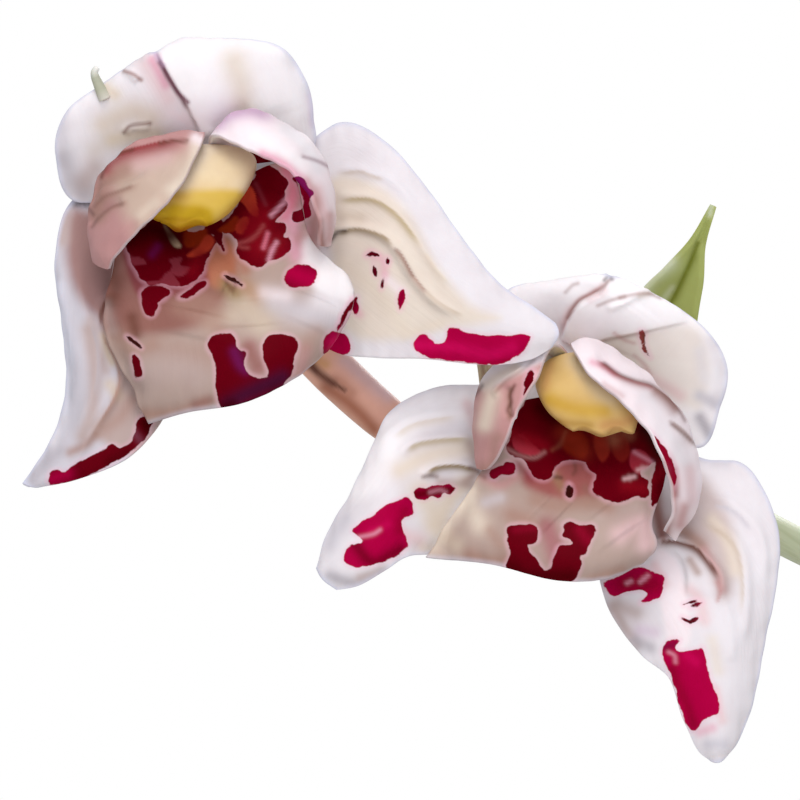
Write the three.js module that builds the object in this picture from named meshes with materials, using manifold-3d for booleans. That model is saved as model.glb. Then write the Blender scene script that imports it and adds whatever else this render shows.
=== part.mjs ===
// A potted lotus-petalled cymbidium: two open butterfly blooms at the end of one arching flower stem.
// Millimetres, +Z up. The origin is on the surface the pot stands on, in the middle of the pot's flat base.
// The blooms face -Y. Left and right are as seen from there.
import * as THREE from "three";
import { mergeVertices } from "three/addons/utils/BufferGeometryUtils.js";
import Module from "manifold-3d";

const wasm = await Module();
wasm.setup();

// Driving dimensions
const GAP = 0.35; // clearance kept between two pieces that touch in life
const POT = { height: 124, rim: 66, waist: 60, foot: 42, wall: 5.5, floor: 8, drain: 5, drainCircle: 22 };
const MIX_TOP = 108; // level of the potting mix
const TEPAL = 0.95; // thickness of a fleshy sepal or petal
const LEAF = { thickness: 0.9, halfWidth: 4.3, steps: 14 };
const SPRAY = { centre: [-28, -62, 348], nod: 6 }; // middle of the two blooms, and their nod in degrees
const VIEW = 500; // the blooms' outlines are sizes as they look from this far in front of the spray's centre
const UPPER_FORWARD = 3; // the upper bloom stands this far in front of the lower one

const vec = (x, y, z) => new THREE.Vector3(x, y, z);
const radians = THREE.MathUtils.degToRad;
const lerp = THREE.MathUtils.lerp;
const spline = (points) => new THREE.CatmullRomCurve3(points, false, "catmullrom", 0.5);

// A point of a bloom from where it is seen: right and up of the spray's centre, and how far in front of it.
function seen([right, up, front]) {
  const spread = 1 - front / VIEW;
  return vec(right * spread, -front, up * spread);
}

// The value at a place from 0 to 1 along a list of evenly spaced values.
function along(values, place) {
  const at = place * (values.length - 1);
  const k = Math.min(values.length - 2, Math.floor(at));
  return lerp(values[k], values[k + 1], at - k);
}

function geometryOf(points, triangles) {
  const geometry = new THREE.BufferGeometry();
  geometry.setAttribute("position", new THREE.Float32BufferAttribute(points.flatMap((p) => p.toArray()), 3));
  geometry.setIndex(triangles);
  return geometry;
}

function solidOf(geometry) {
  const bare = geometry.clone();
  bare.deleteAttribute("normal");
  bare.deleteAttribute("uv");
  const merged = mergeVertices(bare, 1e-3);
  return new wasm.Manifold(
    new wasm.Mesh({
      numProp: 3,
      vertProperties: merged.attributes.position.array,
      triVerts: new Uint32Array(merged.index.array),
    }),
  );
}

// The largest body of a solid as a geometry: a scrap that a cut leaves is dropped.
function geometryFrom(solid) {
  const largest = solid.decompose().sort((a, b) => b.volume() - a.volume())[0];
  const mesh = largest.getMesh();
  const points = [];
  for (let i = 0; i < mesh.numVert; i++) {
    points.push(vec(...mesh.vertProperties.subarray(i * mesh.numProp, i * mesh.numProp + 3)));
  }
  return geometryOf(points, [...mesh.triVerts]);
}

const cutBy = (geometry, ...cutters) =>
  geometryFrom(cutters.reduce((solid, cutter) => solid.subtract(solidOf(cutter)), solidOf(geometry)));

// A thin solid on both sides of a surface: surface(u, v) is a point, u across and v along, each from 0 to 1.
// Both faces are split into triangles alike, so a waved blade never crosses itself.
// grow widens it on every side, for cutting clearance round it.
function blade(surface, { across, steps, thickness, grow = 0 }) {
  const step = 1e-3;
  const front = [];
  const back = [];
  for (let j = 0; j <= steps; j++) {
    for (let i = 0; i <= across; i++) {
      const [u, v] = [i / across, j / steps];
      const du = surface(Math.min(1, u + step), v).sub(surface(Math.max(0, u - step), v)).normalize();
      const dv = surface(u, Math.min(1, v + step)).sub(surface(u, Math.max(0, v - step))).normalize();
      const normal = du.clone().cross(dv).normalize();
      const onMargin = i === 0 || i === across || j === steps;
      const half = (thickness / 2) * (onMargin ? 0.75 : 1) + grow;
      const point = surface(u, v);
      if (i === 0) point.addScaledVector(du, -grow);
      if (i === across) point.addScaledVector(du, grow);
      if (j === 0) point.addScaledVector(dv, -grow);
      if (j === steps) point.addScaledVector(dv, grow);
      front.push(point.clone().addScaledVector(normal, half));
      back.push(point.addScaledVector(normal, -half));
    }
  }
  const row = across + 1;
  const count = front.length;
  const triangles = [];
  for (let j = 0; j < steps; j++) {
    for (let i = 0; i < across; i++) {
      const a = j * row + i;
      const [b, c, d] = [a + 1, a + row + 1, a + row];
      triangles.push(a, b, c, a, c, d);
      triangles.push(count + a, count + c, count + b, count + a, count + d, count + c);
    }
  }
  const rim = [];
  for (let i = 0; i < across; i++) rim.push(i);
  for (let j = 0; j < steps; j++) rim.push(j * row + across);
  for (let i = across; i > 0; i--) rim.push(steps * row + i);
  for (let j = steps; j > 0; j--) rim.push(j * row);
  rim.forEach((a, k) => {
    const b = rim[(k + 1) % rim.length];
    triangles.push(a, count + a, count + b, a, count + b, b);
  });
  return geometryOf([...front, ...back], triangles);
}

// A solid swept through rings of points, with a flat end at each end.
function loft(rings) {
  const sides = rings[0].length;
  const points = rings.flat();
  const triangles = [];
  for (let j = 0; j < rings.length - 1; j++) {
    for (let i = 0; i < sides; i++) {
      const a = j * sides + i;
      const b = j * sides + ((i + 1) % sides);
      triangles.push(a, b, b + sides, a, b + sides, a + sides);
    }
  }
  const middle = (ring) => ring.reduce((sum, p) => sum.add(p), vec(0, 0, 0)).divideScalar(ring.length);
  const last = (rings.length - 1) * sides;
  points.push(middle(rings[0]), middle(rings.at(-1)));
  for (let i = 0; i < sides; i++) {
    const next = (i + 1) % sides;
    triangles.push(points.length - 2, next, i);
    triangles.push(points.length - 1, last + i, last + next);
  }
  return geometryOf(points, triangles);
}

// A stem along a smooth path. Its radius runs through the given values, and ribs flute it.
function stem(path, radii, { sides, steps, grow = 0, ribs = 0, ribDepth = 0 }) {
  const curve = spline(path);
  const frames = curve.computeFrenetFrames(steps, false);
  const rings = [];
  for (let j = 0; j <= steps; j++) {
    const centre = curve.getPointAt(j / steps);
    const radius = along(radii, j / steps) + grow;
    const ring = [];
    for (let i = 0; i < sides; i++) {
      const angle = (2 * Math.PI * i) / sides;
      const r = radius * (1 + ribDepth * Math.cos(ribs * angle));
      ring.push(
        centre
          .clone()
          .addScaledVector(frames.normals[j], r * Math.cos(angle))
          .addScaledVector(frames.binormals[j], r * Math.sin(angle)),
      );
    }
    rings.push(ring);
  }
  return loft(rings);
}

// A folded, pointed blade that follows a path, with its margins lifted towards facing.
function foldedBlade(path, facing, halfWidths, fold, options) {
  const curve = spline(path);
  return blade((u, v) => {
    const tangent = curve.getTangent(v);
    const side = tangent.clone().cross(facing).normalize();
    const lift = side.clone().cross(tangent).normalize();
    const s = 2 * u - 1;
    const half = along(halfWidths, v);
    return curve
      .getPoint(v)
      .addScaledVector(side, half * s * Math.cos(fold))
      .addScaledVector(lift, half * Math.abs(s) * Math.sin(fold));
  }, options);
}

// Materials
const finish = (color, roughness) => new THREE.MeshStandardMaterial({ color, roughness, metalness: 0 });
const FINISHES = {
  clay: () => finish("#6b4536", 0.8),
  mix: () => finish("#7a5a40", 0.95),
  bulb: () => finish("#7d8a4a", 0.6),
  leaf: () => finish("#3f6b2e", 0.45),
  stem: () => finish("#b98069", 0.5),
  bract: () => finish("#9aae62", 0.5),
  tepal: () => finish("#f2ece9", 0.45),
  lip: () => finish("#efe2de", 0.45),
  column: () => finish("#e3c766", 0.4),
};

const plant = new THREE.Group();
const spray = new THREE.Group();
spray.position.set(...SPRAY.centre);
spray.rotation.x = radians(SPRAY.nod);
spray.updateMatrix();
plant.add(spray);

// A point of the spray, given as it is seen, in the plant's own frame.
const onSpray = (right, up, front) => seen([right, up, front]).applyMatrix4(spray.matrix);

function addPiece(name, geometry, kind, parent = plant) {
  const mesh = new THREE.Mesh(geometry, FINISHES[kind]());
  mesh.name = name;
  parent.add(mesh);
}

// Pot: a plain tapering clay pot with a rounded rim, a flat base and four drain holes.
function potWall(z) {
  return z < 38 ? lerp(POT.foot, POT.waist - 5, z / 38) : lerp(POT.waist - 5, POT.waist, (z - 38) / (POT.height - 54));
}

function potGeometry() {
  const { height, rim, waist, foot, wall, floor, drain, drainCircle } = POT;
  const profile = [
    [0, 0],
    [foot, 0],
    [foot + 2, 3],
    [potWall(38), 38],
    [potWall(height - 16), height - 16],
    [waist + 1.5, height - 12],
    [rim, height - 10],
    [rim + 1, height - 5],
    [rim, height - 1],
    [rim - 2, height],
    [rim - 6, height - 1],
    [waist - wall + 0.5, height - 12],
    [potWall(38) - wall, 38],
    [foot - wall + 2, floor + 3],
    [foot - wall, floor],
    [0, floor],
  ];
  const outline = profile.map(([r, z]) => new THREE.Vector2(r, z));
  const holes = [45, 135, 225, 315].map((angle) =>
    new THREE.CylinderGeometry(drain, drain, 3 * floor, 14)
      .rotateX(Math.PI / 2)
      .translate(drainCircle * Math.cos(radians(angle)), drainCircle * Math.sin(radians(angle)), 0),
  );
  return cutBy(new THREE.LatheGeometry(outline, 40).rotateX(Math.PI / 2), ...holes);
}

// Potting mix: a plug of bark and grit with its top lumped by a formula.
function mixGeometry() {
  const { floor, foot, wall, waist, height } = POT;
  const sides = 26;
  const ring = (radius, level) =>
    Array.from({ length: sides }, (_, i) => {
      const angle = (2 * Math.PI * i) / sides;
      return vec(radius * Math.cos(angle), radius * Math.sin(angle), level(angle));
    });
  const shoulder = MIX_TOP - 3;
  const inner = (z) => lerp(potWall(38) - wall, waist - wall + 0.5, (z - 38) / (height - 50)) - GAP - 0.2;
  const rings = [
    ring(foot - wall - GAP, () => floor + GAP),
    ring(inner(38), () => 38),
    ring(inner(shoulder), () => shoulder),
  ];
  for (const share of [0.97, 0.86, 0.74, 0.62, 0.5, 0.38, 0.26, 0.14]) {
    const lump = (angle) => 1.1 * Math.sin(7 * angle + 23 * share) * Math.cos(4 * angle - 31 * share);
    rings.push(ring(share * inner(shoulder), (angle) => MIX_TOP - 2.2 * share * share + lump(angle)));
  }
  return loft(rings);
}

// Pseudobulbs stand in a row along the rhizome. Each carries a fan of leaves that fall right and left:
// sweep turns the fan, in degrees, towards the back.
const BULBS = [
  { at: [1, -22], radius: 8, height: 18, sweep: -26 },
  { at: [-4, -3], radius: 9.5, height: 22, sweep: -5 },
  { at: [3, 17], radius: 9, height: 21, sweep: 17 },
  { at: [-3, 36], radius: 7.5, height: 17, sweep: 40 },
];
const BULB_SUNK = 6; // depth of a bulb's foot in the mix
const crownOf = (bulb) => MIX_TOP - BULB_SUNK + bulb.height;

function bulbGeometry({ at: [x, y], radius, height }, grow = 0) {
  const rings = [];
  const steps = 7;
  for (let j = 0; j <= steps; j++) {
    const t = j / steps;
    const r = radius * Math.sqrt(1 - ((t - 0.42) / 0.66) ** 2) + grow;
    const z = MIX_TOP - BULB_SUNK + t * height + (2 * t - 1) * grow;
    const sides = 12;
    rings.push(
      Array.from({ length: sides }, (_, i) => {
        const angle = (2 * Math.PI * i) / sides;
        return vec(x + r * Math.cos(angle), y + 0.85 * r * Math.sin(angle), z);
      }),
    );
  }
  return loft(rings);
}

// A leaf bends over evenly: its tilt from upright grows from lean at the root to droop at the tip,
// while its heading turns sideways by turn.
function leafGeometry({ root, azimuth, length, lean, droop, turn }) {
  const pieces = 60;
  const tiltAt = (v) => radians(lerp(lean, droop, v ** 1.15));
  const outAt = (v) => {
    const heading = radians(azimuth + turn * v * v);
    return vec(Math.cos(heading), Math.sin(heading), 0);
  };
  const centres = [root];
  for (let j = 1; j <= pieces; j++) {
    const v = (j - 0.5) / pieces;
    const move = outAt(v).multiplyScalar(Math.sin(tiltAt(v))).add(vec(0, 0, Math.cos(tiltAt(v))));
    centres.push(centres[j - 1].clone().addScaledVector(move, length / pieces));
  }
  return blade(
    (u, v) => {
      const j = Math.min(pieces - 1, Math.floor(v * pieces));
      const out = outAt(v);
      const side = vec(-out.y, out.x, 0);
      const inward = out.clone().multiplyScalar(-Math.cos(tiltAt(v))).add(vec(0, 0, Math.sin(tiltAt(v))));
      const s = 2 * u - 1;
      const fold = lerp(1, 0.3, Math.min(1, 2.5 * v));
      const taper = Math.min(1, 0.55 + 3 * v) * Math.min(1, ((1 - v) / 0.42) ** 0.75 + 0.08);
      const half = LEAF.halfWidth * taper;
      return centres[j]
        .clone()
        .lerp(centres[j + 1], v * pieces - j)
        .addScaledVector(side, half * s * Math.cos(fold))
        .addScaledVector(inward, half * Math.abs(s) * Math.sin(fold));
    },
    { across: 2, steps: LEAF.steps, thickness: LEAF.thickness },
  );
}

// One list for each bulb, and one row for each leaf: the way it falls (1 right, -1 left), its place in the
// fan from the inside out, its length, and its lean, droop and sideways turn in degrees.
const FANS = [
  [
    [1, 0, 186, 10, 94, -14],
    [-1, 0, 178, 14, 98, 16],
    [1, 1, 212, 22, 108, -10],
    [-1, 1, 206, 27, 108, 12],
  ],
  [
    [1, 0, 256, 7, 86, -9],
    [-1, 0, 244, 12, 92, 11],
    [1, 1, 284, 17, 102, -7],
    [-1, 1, 290, 22, 106, 9],
    [1, 2, 238, 31, 118, 6],
  ],
  [
    [-1, 0, 246, 10, 88, -10],
    [1, 0, 264, 6, 84, 9],
    [-1, 1, 280, 20, 102, -8],
    [1, 1, 292, 18, 102, 7],
    [-1, 2, 234, 33, 118, 6],
  ],
  [
    [1, 0, 226, 9, 88, 12],
    [-1, 0, 222, 12, 90, -12],
    [1, 1, 248, 20, 102, 10],
    [-1, 1, 252, 24, 102, -10],
  ],
];

function addLeaves() {
  BULBS.forEach((bulb, b) => {
    addPiece(`pseudobulb_${b + 1}`, bulbGeometry(bulb), "bulb");
    const grown = bulbGeometry(bulb, GAP);
    FANS[b].forEach(([way, rank, length, lean, droop, turn], n) => {
      const root = vec(bulb.at[0] + way * (2.6 + 2.6 * rank), bulb.at[1], crownOf(bulb) - 1 - 4.5 * rank);
      const azimuth = way > 0 ? bulb.sweep : 180 - bulb.sweep;
      const leaf = leafGeometry({ root, azimuth, length, lean, droop, turn });
      addPiece(`leaf_${b + 1}_${n + 1}`, cutBy(leaf, grown), "leaf");
    });
  });
}

// Flower stem: it rises from the foot of the front bulb and arches left and forward behind the lower bloom.
const SCAPE_PATH = [
  vec(9, -37.5, MIX_TOP - 9),
  vec(12.5, -36.5, 160),
  vec(20, -30, 225),
  vec(27, -21.5, 280),
  vec(28.5, -15, 309),
  vec(25, -12.5, 327),
  onSpray(41, -15.6, -49.5),
  onSpray(36.5, -13.4, -44),
  onSpray(31, -10.6, -35),
  onSpray(25, -7.4, -25),
  onSpray(19, -5.4, -18),
  onSpray(13, -5.3, -14.6),
  onSpray(8.6, -5.4, -13.4),
];
const SCAPE_RADII = [2.4, 2.2, 2, 1.9, 1.8, 1.75, 1.7, 1.6];

function scapeGeometry(grow = 0) {
  return stem(SCAPE_PATH, SCAPE_RADII, { sides: 8, steps: 34, grow });
}

// Sheaths clasp the stem, open on one side, each from its share of the stem's length up.
const SHEATHS = [
  { from: 0.1, to: 0.25, open: 40 },
  { from: 0.33, to: 0.46, open: 220 },
  { from: 0.55, to: 0.66, open: 100 },
];

function sheathGeometry({ from, to, open }) {
  const curve = spline(SCAPE_PATH);
  const frames = curve.computeFrenetFrames(200, false);
  return blade(
    (u, v) => {
      const t = lerp(from, to, v);
      const k = Math.round(200 * t);
      const wrap = lerp(150, 40, v ** 2);
      const angle = radians(open + (2 * u - 1) * wrap);
      const radius = along(SCAPE_RADII, t) + GAP + 0.45 + 0.9 * v * v;
      return curve
        .getPointAt(t)
        .addScaledVector(frames.normals[k], radius * Math.cos(angle))
        .addScaledVector(frames.binormals[k], radius * Math.sin(angle));
    },
    { across: 8, steps: 5, thickness: 0.7 },
  );
}

// Blooms. Each sepal, petal and lip is a net of points [right, up, front]: a row runs from one margin to
// the other, and the rows run from the bloom's heart to the tip. Every bloom holds seven pieces.
const UPPER_BLOOM = {
  dorsal_sepal: [
    [[-19, 20.6, -3.9], [-17.8, 21.2, -3.9], [-16.6, 20.8, -3.9]],
    [[-28.8, 17.8, -3.8], [-18.2, 22.6, -3.6], [-8.4, 22.2, -4]],
    [[-31, 22.2, -2.2], [-18.7, 24.6, -1.2], [-7.8, 25.6, -2.4]],
    [[-30, 26, -1], [-19.5, 27, 0.8], [-8.6, 29, -1.2]],
    [[-26.8, 28.4, 0], [-20.5, 29.2, 1.8], [-11.2, 32, 0]],
    [[-23.8, 30.4, 0.8], [-21.5, 30.9, 2.2], [-16.8, 32.2, 0.8]],
    [[-22.6, 31, 1.4], [-21.9, 31.3, 2], [-20.6, 31.7, 1.6]],
  ],
  left_lateral_sepal: [
    [[-20, 20.2, -5.2], [-19.4, 19.2, -5.2], [-18.4, 18.4, -5.2]],
    [[-28.9, 18.4, -4.8], [-24.5, 13, -4], [-18.6, 7.5, -4.4]],
    [[-31, 13, -2.6], [-26.8, 8.8, -0.4], [-19.6, 2.5, -2.4]],
    [[-30.3, 7, -1], [-27.4, 3.9, 1.8], [-20.8, -0.6, 0]],
    [[-29.9, 1.5, 0], [-27.6, -0.6, 2.6], [-22.2, -3, 2]],
    [[-31, -2.9, 0.8], [-28.7, -4, 2.6], [-24.9, -5.5, 2.8]],
    [[-32.6, -5.7, 1.4], [-31.3, -6.4, 2.4], [-29.2, -7.2, 2.6]],
    [[-33.9, -7.6, 1.8], [-33.4, -7.8, 2.1], [-32.6, -7.9, 2.2]],
  ],
  right_lateral_sepal: [
    [[-17.2, 18.4, -5.2], [-16.2, 19.2, -5.2], [-15.6, 20.2, -5.2]],
    [[-9.5, 7.5, -4.4], [-9, 15, -4.8], [-9, 22.8, -4.8]],
    [[-6, 4.4, -2.4], [-4.2, 15.5, -2.2], [-5, 25, -4]],
    [[-2.2, 3.8, -0.4], [-0.6, 13.2, 0.4], [-1, 23, -2.4]],
    [[2.2, 3.7, 0.8], [3, 10.6, 1.4], [2.7, 18.7, -0.8]],
    [[6, 3.3, 1.4], [5.6, 8.4, 2.2], [5.5, 14.7, 0.4]],
    [[9, 3.2, 1.8], [8.8, 6.8, 2.6], [8.7, 10.7, 1.4]],
    [[11.8, 3.7, 2.2], [12, 5.9, 2.7], [12.1, 8.3, 2.2]],
    [[13.7, 4.8, 2.4], [14.3, 5.9, 2.7], [14, 6.9, 2.5]],
  ],
  left_petal: [
    [[-19.8, 21, -2.6], [-19.1, 21.6, -2.6], [-18.4, 22, -2.6]],
    [[-21.4, 23.4, 0.8], [-19.6, 23.8, 2.2], [-17.6, 23.8, 3.4]],
    [[-24.4, 22.8, 1.8], [-21.8, 20.8, 5.4], [-19.6, 19.6, 7.6]],
    [[-26.9, 20.4, 1.6], [-24.2, 18.2, 6], [-21.8, 17, 8.4]],
    [[-27.9, 16.8, 1.8], [-25.8, 15.6, 5.6], [-23.9, 15, 8]],
    [[-27.8, 14, 2.2], [-26.9, 13.4, 4.6], [-25.6, 13, 6.6]],
    [[-27.4, 12.4, 3], [-26.9, 12, 4.2], [-26.2, 11.8, 5.2]],
  ],
  right_petal: [
    [[-17.2, 22, -2.6], [-16.5, 21.6, -2.6], [-15.8, 21, -2.6]],
    [[-16.8, 23.8, 3.4], [-15.4, 24.9, 2.6], [-14, 25.8, 1.2]],
    [[-13.4, 22.4, 6.4], [-12.4, 23.9, 4.6], [-11.2, 25.2, 1.4]],
    [[-10.6, 21.2, 7.4], [-9.4, 22, 4.8], [-7.9, 23, 1.2]],
    [[-8.6, 19.2, 7.2], [-7.5, 19.6, 4.4], [-6.3, 19.8, 0.8]],
    [[-7.3, 16.6, 6.4], [-6.6, 16.6, 4], [-5.9, 16.6, 1]],
    [[-7.2, 13.9, 5], [-6.8, 13.8, 3.6], [-6.4, 13.9, 2.2]],
  ],
  lip: [
    [[-19.2, 18.8, -1.6], [-18.5, 18.5, -1.6], [-17.8, 18.4, -1.6], [-17.1, 18.5, -1.6], [-16.4, 18.8, -1.6]],
    [[-24.6, 16, 2.4], [-21.4, 15.2, -0.4], [-17.6, 14.6, -1.2], [-13.4, 18, -0.4], [-10.2, 21.2, 2.2]],
    [[-26, 11, 3.2], [-21.5, 11.2, 2.6], [-16.4, 11, 3], [-11.6, 13.4, 2.4], [-8, 14.4, 1.8]],
    [[-26.9, 7, 3.8], [-21, 7.2, 5.4], [-14.8, 7.4, 6.8], [-9, 9.4, 5.8], [-4.6, 10.9, 3.8]],
    [[-25.6, 3, 4.4], [-20.2, 2.8, 7], [-13.9, 3.6, 8.8], [-8.6, 5.6, 7.6], [-4.4, 8.2, 4.8]],
    [[-22.5, -2.1, 4.6], [-19, -1.1, 7], [-14.2, -0.3, 8.6], [-10, 1.7, 7.6], [-6.6, 4.4, 5.4]],
  ],
  column: [
    [-17.8, 20.7, -1.7, 2, 1.3],
    [-17.1, 21.4, 0.2, 3.9, 1.6],
    [-17.5, 20.6, 2, 4.4, 2],
    [-17.8, 18.8, 3.5, 4.7, 2.1],
    [-18.2, 17, 4.4, 4.3, 1.8],
    [-18.5, 15.7, 4.8, 2.8, 1],
  ],
};

const LOWER_BLOOM = {
  dorsal_sepal: [
    [[15, 2.6, -3.9], [16.2, 3.2, -3.9], [17.4, 2.6, -3.9]],
    [[9.4, 3.6, -3.8], [15, 5.6, -3.6], [26.4, -4.2, -4]],
    [[8.8, 7, -3.2], [15.2, 7.4, -1.4], [28.9, -0.4, -2.4]],
    [[9.8, 9.9, -2.8], [16.3, 8.9, 0.4], [29.4, 3.2, -1.4]],
    [[13, 10.6, -1.4], [17.5, 10, 1.2], [27.3, 6.6, -0.4]],
    [[16.2, 11, 0.2], [18.3, 10.7, 1.6], [23.2, 9.3, 0.4]],
    [[18.1, 11.1, 1], [18.8, 11.2, 1.5], [19.8, 10.9, 1.2]],
  ],
  left_lateral_sepal: [
    [[14.2, 2, -5.2], [14.8, 1, -5.2], [15.6, 0.4, -5.2]],
    [[7.6, 1.4, -4.8], [9.4, -4.5, -4.4], [12, -10, -4.8]],
    [[3.2, 1.1, -3.4], [4, -5.4, -1.8], [6.4, -12.6, -3]],
    [[-0.8, -1, -2.2], [0.6, -7.2, 0.6], [3.2, -13.8, -0.8]],
    [[-2.7, -4.8, -1], [-1.2, -9.4, 1.8], [0.6, -14.1, 1]],
    [[-4.5, -8.6, 0], [-3.2, -12, 2.2], [-1.6, -15.5, 2]],
    [[-6.4, -11.8, 0.8], [-5.2, -14.3, 2.2], [-3.7, -16.7, 2.2]],
    [[-7.5, -15.2, 1.4], [-6.9, -16.2, 1.9], [-5.7, -17.1, 2]],
  ],
  right_lateral_sepal: [
    [[16.8, 0.4, -5.2], [17.6, 1, -5.2], [18.2, 2, -5.2]],
    [[16, -8, -4.8], [21, -7, -4.6], [26.2, -4.8, -4.6]],
    [[17.6, -14.6, -3], [24, -13, -2], [31.2, -6, -3.8]],
    [[18.9, -19, -0.8], [26.6, -17, 1], [34, -11.6, -2]],
    [[21.6, -22.8, 0.6], [28.4, -20.6, 2.2], [33.7, -17.2, -0.8]],
    [[24.2, -25, 1.4], [28.9, -24.3, 2.6], [32.7, -22, 0.2]],
    [[25.4, -28.4, 1.8], [28.8, -28, 2.8], [31.8, -26.8, 1]],
    [[26.8, -31.4, 1.9], [28.8, -31.2, 2.5], [30.5, -30.4, 1.6]],
    [[28, -32.5, 2.1], [28.7, -32.6, 2.3], [29.4, -32.1, 2.1]],
  ],
  left_petal: [
    [[14.2, 2.6, -2.6], [14.8, 3.2, -2.6], [15.6, 3.6, -2.6]],
    [[11.4, 4.6, 0.6], [12.6, 4.8, 2], [13.8, 5, 3]],
    [[9, 3.4, 1.2], [10.6, 2.6, 4], [12.2, 1.8, 6]],
    [[7.3, 1.4, 0.8], [9, 0.4, 4.2], [10.7, -0.6, 6.6]],
    [[6.7, -1.6, 1], [8.2, -2.4, 4.4], [9.7, -3, 6.8]],
    [[6.8, -4.4, 1.6], [7.8, -4.7, 3.9], [8.9, -4.9, 5.7]],
    [[7, -6.2, 2.9], [7.4, -6.3, 3.6], [7.9, -6.2, 4.3]],
  ],
  right_petal: [
    [[16.8, 3.6, -2.6], [17.6, 3.2, -2.6], [18.2, 2.6, -2.6]],
    [[15.4, 5, 3.4], [16.6, 5.2, 2.8], [18, 5, 1.2]],
    [[17, 2.4, 6.8], [18.4, 3.2, 5.4], [20, 3.9, 2]],
    [[19.9, -0.2, 7.2], [21.4, 0.6, 5], [22.9, 1.7, 1.6]],
    [[22.3, -2.7, 7.2], [23.8, -2.2, 4.8], [25.3, -1.2, 1]],
    [[24, -6.2, 6.8], [25.4, -6, 4.4], [26.8, -5.6, 0.8]],
    [[24.6, -9.6, 5.8], [25.6, -9.6, 3.8], [26.7, -9.4, 0.8]],
    [[23.9, -11.9, 4.2], [24.3, -12.2, 3.2], [24.6, -12.6, 2]],
  ],
  lip: [
    [[14.8, 0.6, -1.6], [15.5, 0.3, -1.6], [16.2, 0.2, -1.6], [16.9, 0.3, -1.6], [17.6, 0.6, -1.6]],
    [[10, -0.6, 0.6], [12.6, -2.4, -0.6], [16.3, -3.9, -1.2], [20.6, -3.6, 0], [24, -2.8, 2.4]],
    [[8.4, -4.9, 1.8], [11.8, -6.3, 2], [15.7, -7.6, 3], [20.2, -7.8, 2.6], [23.8, -7.2, 2.2]],
    [[5.8, -8.4, 3.4], [10.4, -9.6, 5.2], [15.2, -10.6, 6.4], [19.6, -11, 5.8], [22.6, -10.8, 3.6]],
    [[3.6, -11.6, 4], [8.8, -12.6, 6.4], [14.6, -13.7, 8], [19.4, -13.8, 7.2], [23, -13.1, 4.6]],
    [[2.4, -14.2, 4], [8.2, -14.8, 6.4], [13.9, -16.2, 7.8], [18.2, -16.1, 7.2], [21.8, -14.7, 5]],
  ],
  column: [
    [16.2, 2.5, -1.7, 2, 1.4],
    [16.1, 2.7, 0.2, 3, 1.7],
    [16.3, 2, 1.9, 4.1, 1.9],
    [16.9, 0.5, 3.3, 4.4, 2],
    [17.6, -1.2, 4.1, 4.1, 1.6],
    [18.2, -2.6, 4.4, 2.8, 1],
  ],
};

// The smooth surface through a net.
function surfaceThrough(net) {
  const rails = net[0].map((_, column) => spline(net.map((row) => seen(row[column]))));
  return (u, v) => spline(rails.map((rail) => rail.getPoint(v))).getPoint(u);
}

// The column arches forward over the lip. Each row is its centre, half width and half depth there.
function columnGeometry(rows) {
  const sides = 14;
  const centres = spline(rows.map(seen));
  const across = vec(1, 0, 0);
  const rings = [];
  const steps = 10;
  for (let j = 0; j <= steps; j++) {
    const t = j / steps;
    const thick = centres.getTangent(t).cross(across).normalize();
    const [wide, deep] = [3, 4].map((k) => along(rows.map((row) => row[k]), t));
    rings.push(
      Array.from({ length: sides }, (_, i) => {
        const angle = (2 * Math.PI * i) / sides;
        return centres
          .getPoint(t)
          .addScaledVector(across, wide * Math.cos(angle))
          .addScaledVector(thick, deep * Math.sin(angle));
      }),
    );
  }
  return loft(rings);
}

// A small green point that stands on the left lobe of the upper bloom's dorsal sepal.
const POINT = {
  path: [
    [-26.5, 27, 3.4],
    [-27.1, 28.3, 3.6],
    [-27.5, 29.4, 3.7],
    [-27.2, 30, 3.7],
  ],
  radii: [0.6, 0.5, 0.4, 0.25],
};

function addBloom(which, bloom, forward) {
  const tepal = (name, grow = 0) => {
    const net = bloom[name].map((row) => row.map(([right, up, front]) => [right, up, front + forward]));
    const faces = name.endsWith("petal") ? { across: 6, steps: 12 } : { across: 8, steps: 15 };
    return blade(surfaceThrough(net), { ...faces, thickness: TEPAL, grow });
  };
  for (const name of Object.keys(bloom).filter((key) => key !== "column")) {
    addPiece(`${which}_${name}`, tepal(name), name === "lip" ? "lip" : "tepal", spray);
  }
  const rows = bloom.column.map(([right, up, front, ...half]) => [right, up, front + forward, ...half]);
  const column = cutBy(columnGeometry(rows), tepal("left_petal", GAP), tepal("right_petal", GAP));
  addPiece(`${which}_column`, column, "column", spray);
}

function addPoint() {
  const sepal = spray.children.find((piece) => piece.name === "upper_dorsal_sepal");
  const point = stem(POINT.path.map(seen), POINT.radii, { sides: 6, steps: 5 });
  sepal.geometry = geometryFrom(solidOf(sepal.geometry).add(solidOf(point)));
}

// Each bloom's ovary and stalk runs from the flower stem to the back of the bloom, with six low ribs.
const OVARIES = {
  upper_ovary: {
    path: [
      [8.3, -5.4, -13.3],
      [5.4, -5.4, -12.6],
      [2.4, -4.1, -12.2],
      [-1, -1.9, -11.4],
      [-5.9, 2.5, -9.8],
      [-11.5, 8.4, -7.8],
      [-16, 14.6, -6.6],
      [-17.6, 18.8, -5.6],
      [-17.8, 19.7, -3.2],
    ],
    radii: [1.6, 1.8, 2.1, 2.2, 2.1, 2, 1.8, 1.7],
  },
  lower_ovary: {
    path: [
      [19.8, -5.2, -18.4],
      [20.4, -2.2, -15.6],
      [18.8, -0.4, -12.5],
      [17, 1.1, -9.4],
      [16.3, 1.8, -6.3],
    ],
    radii: [1.6, 1.7, 1.9, 2, 1.8],
  },
};

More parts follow.
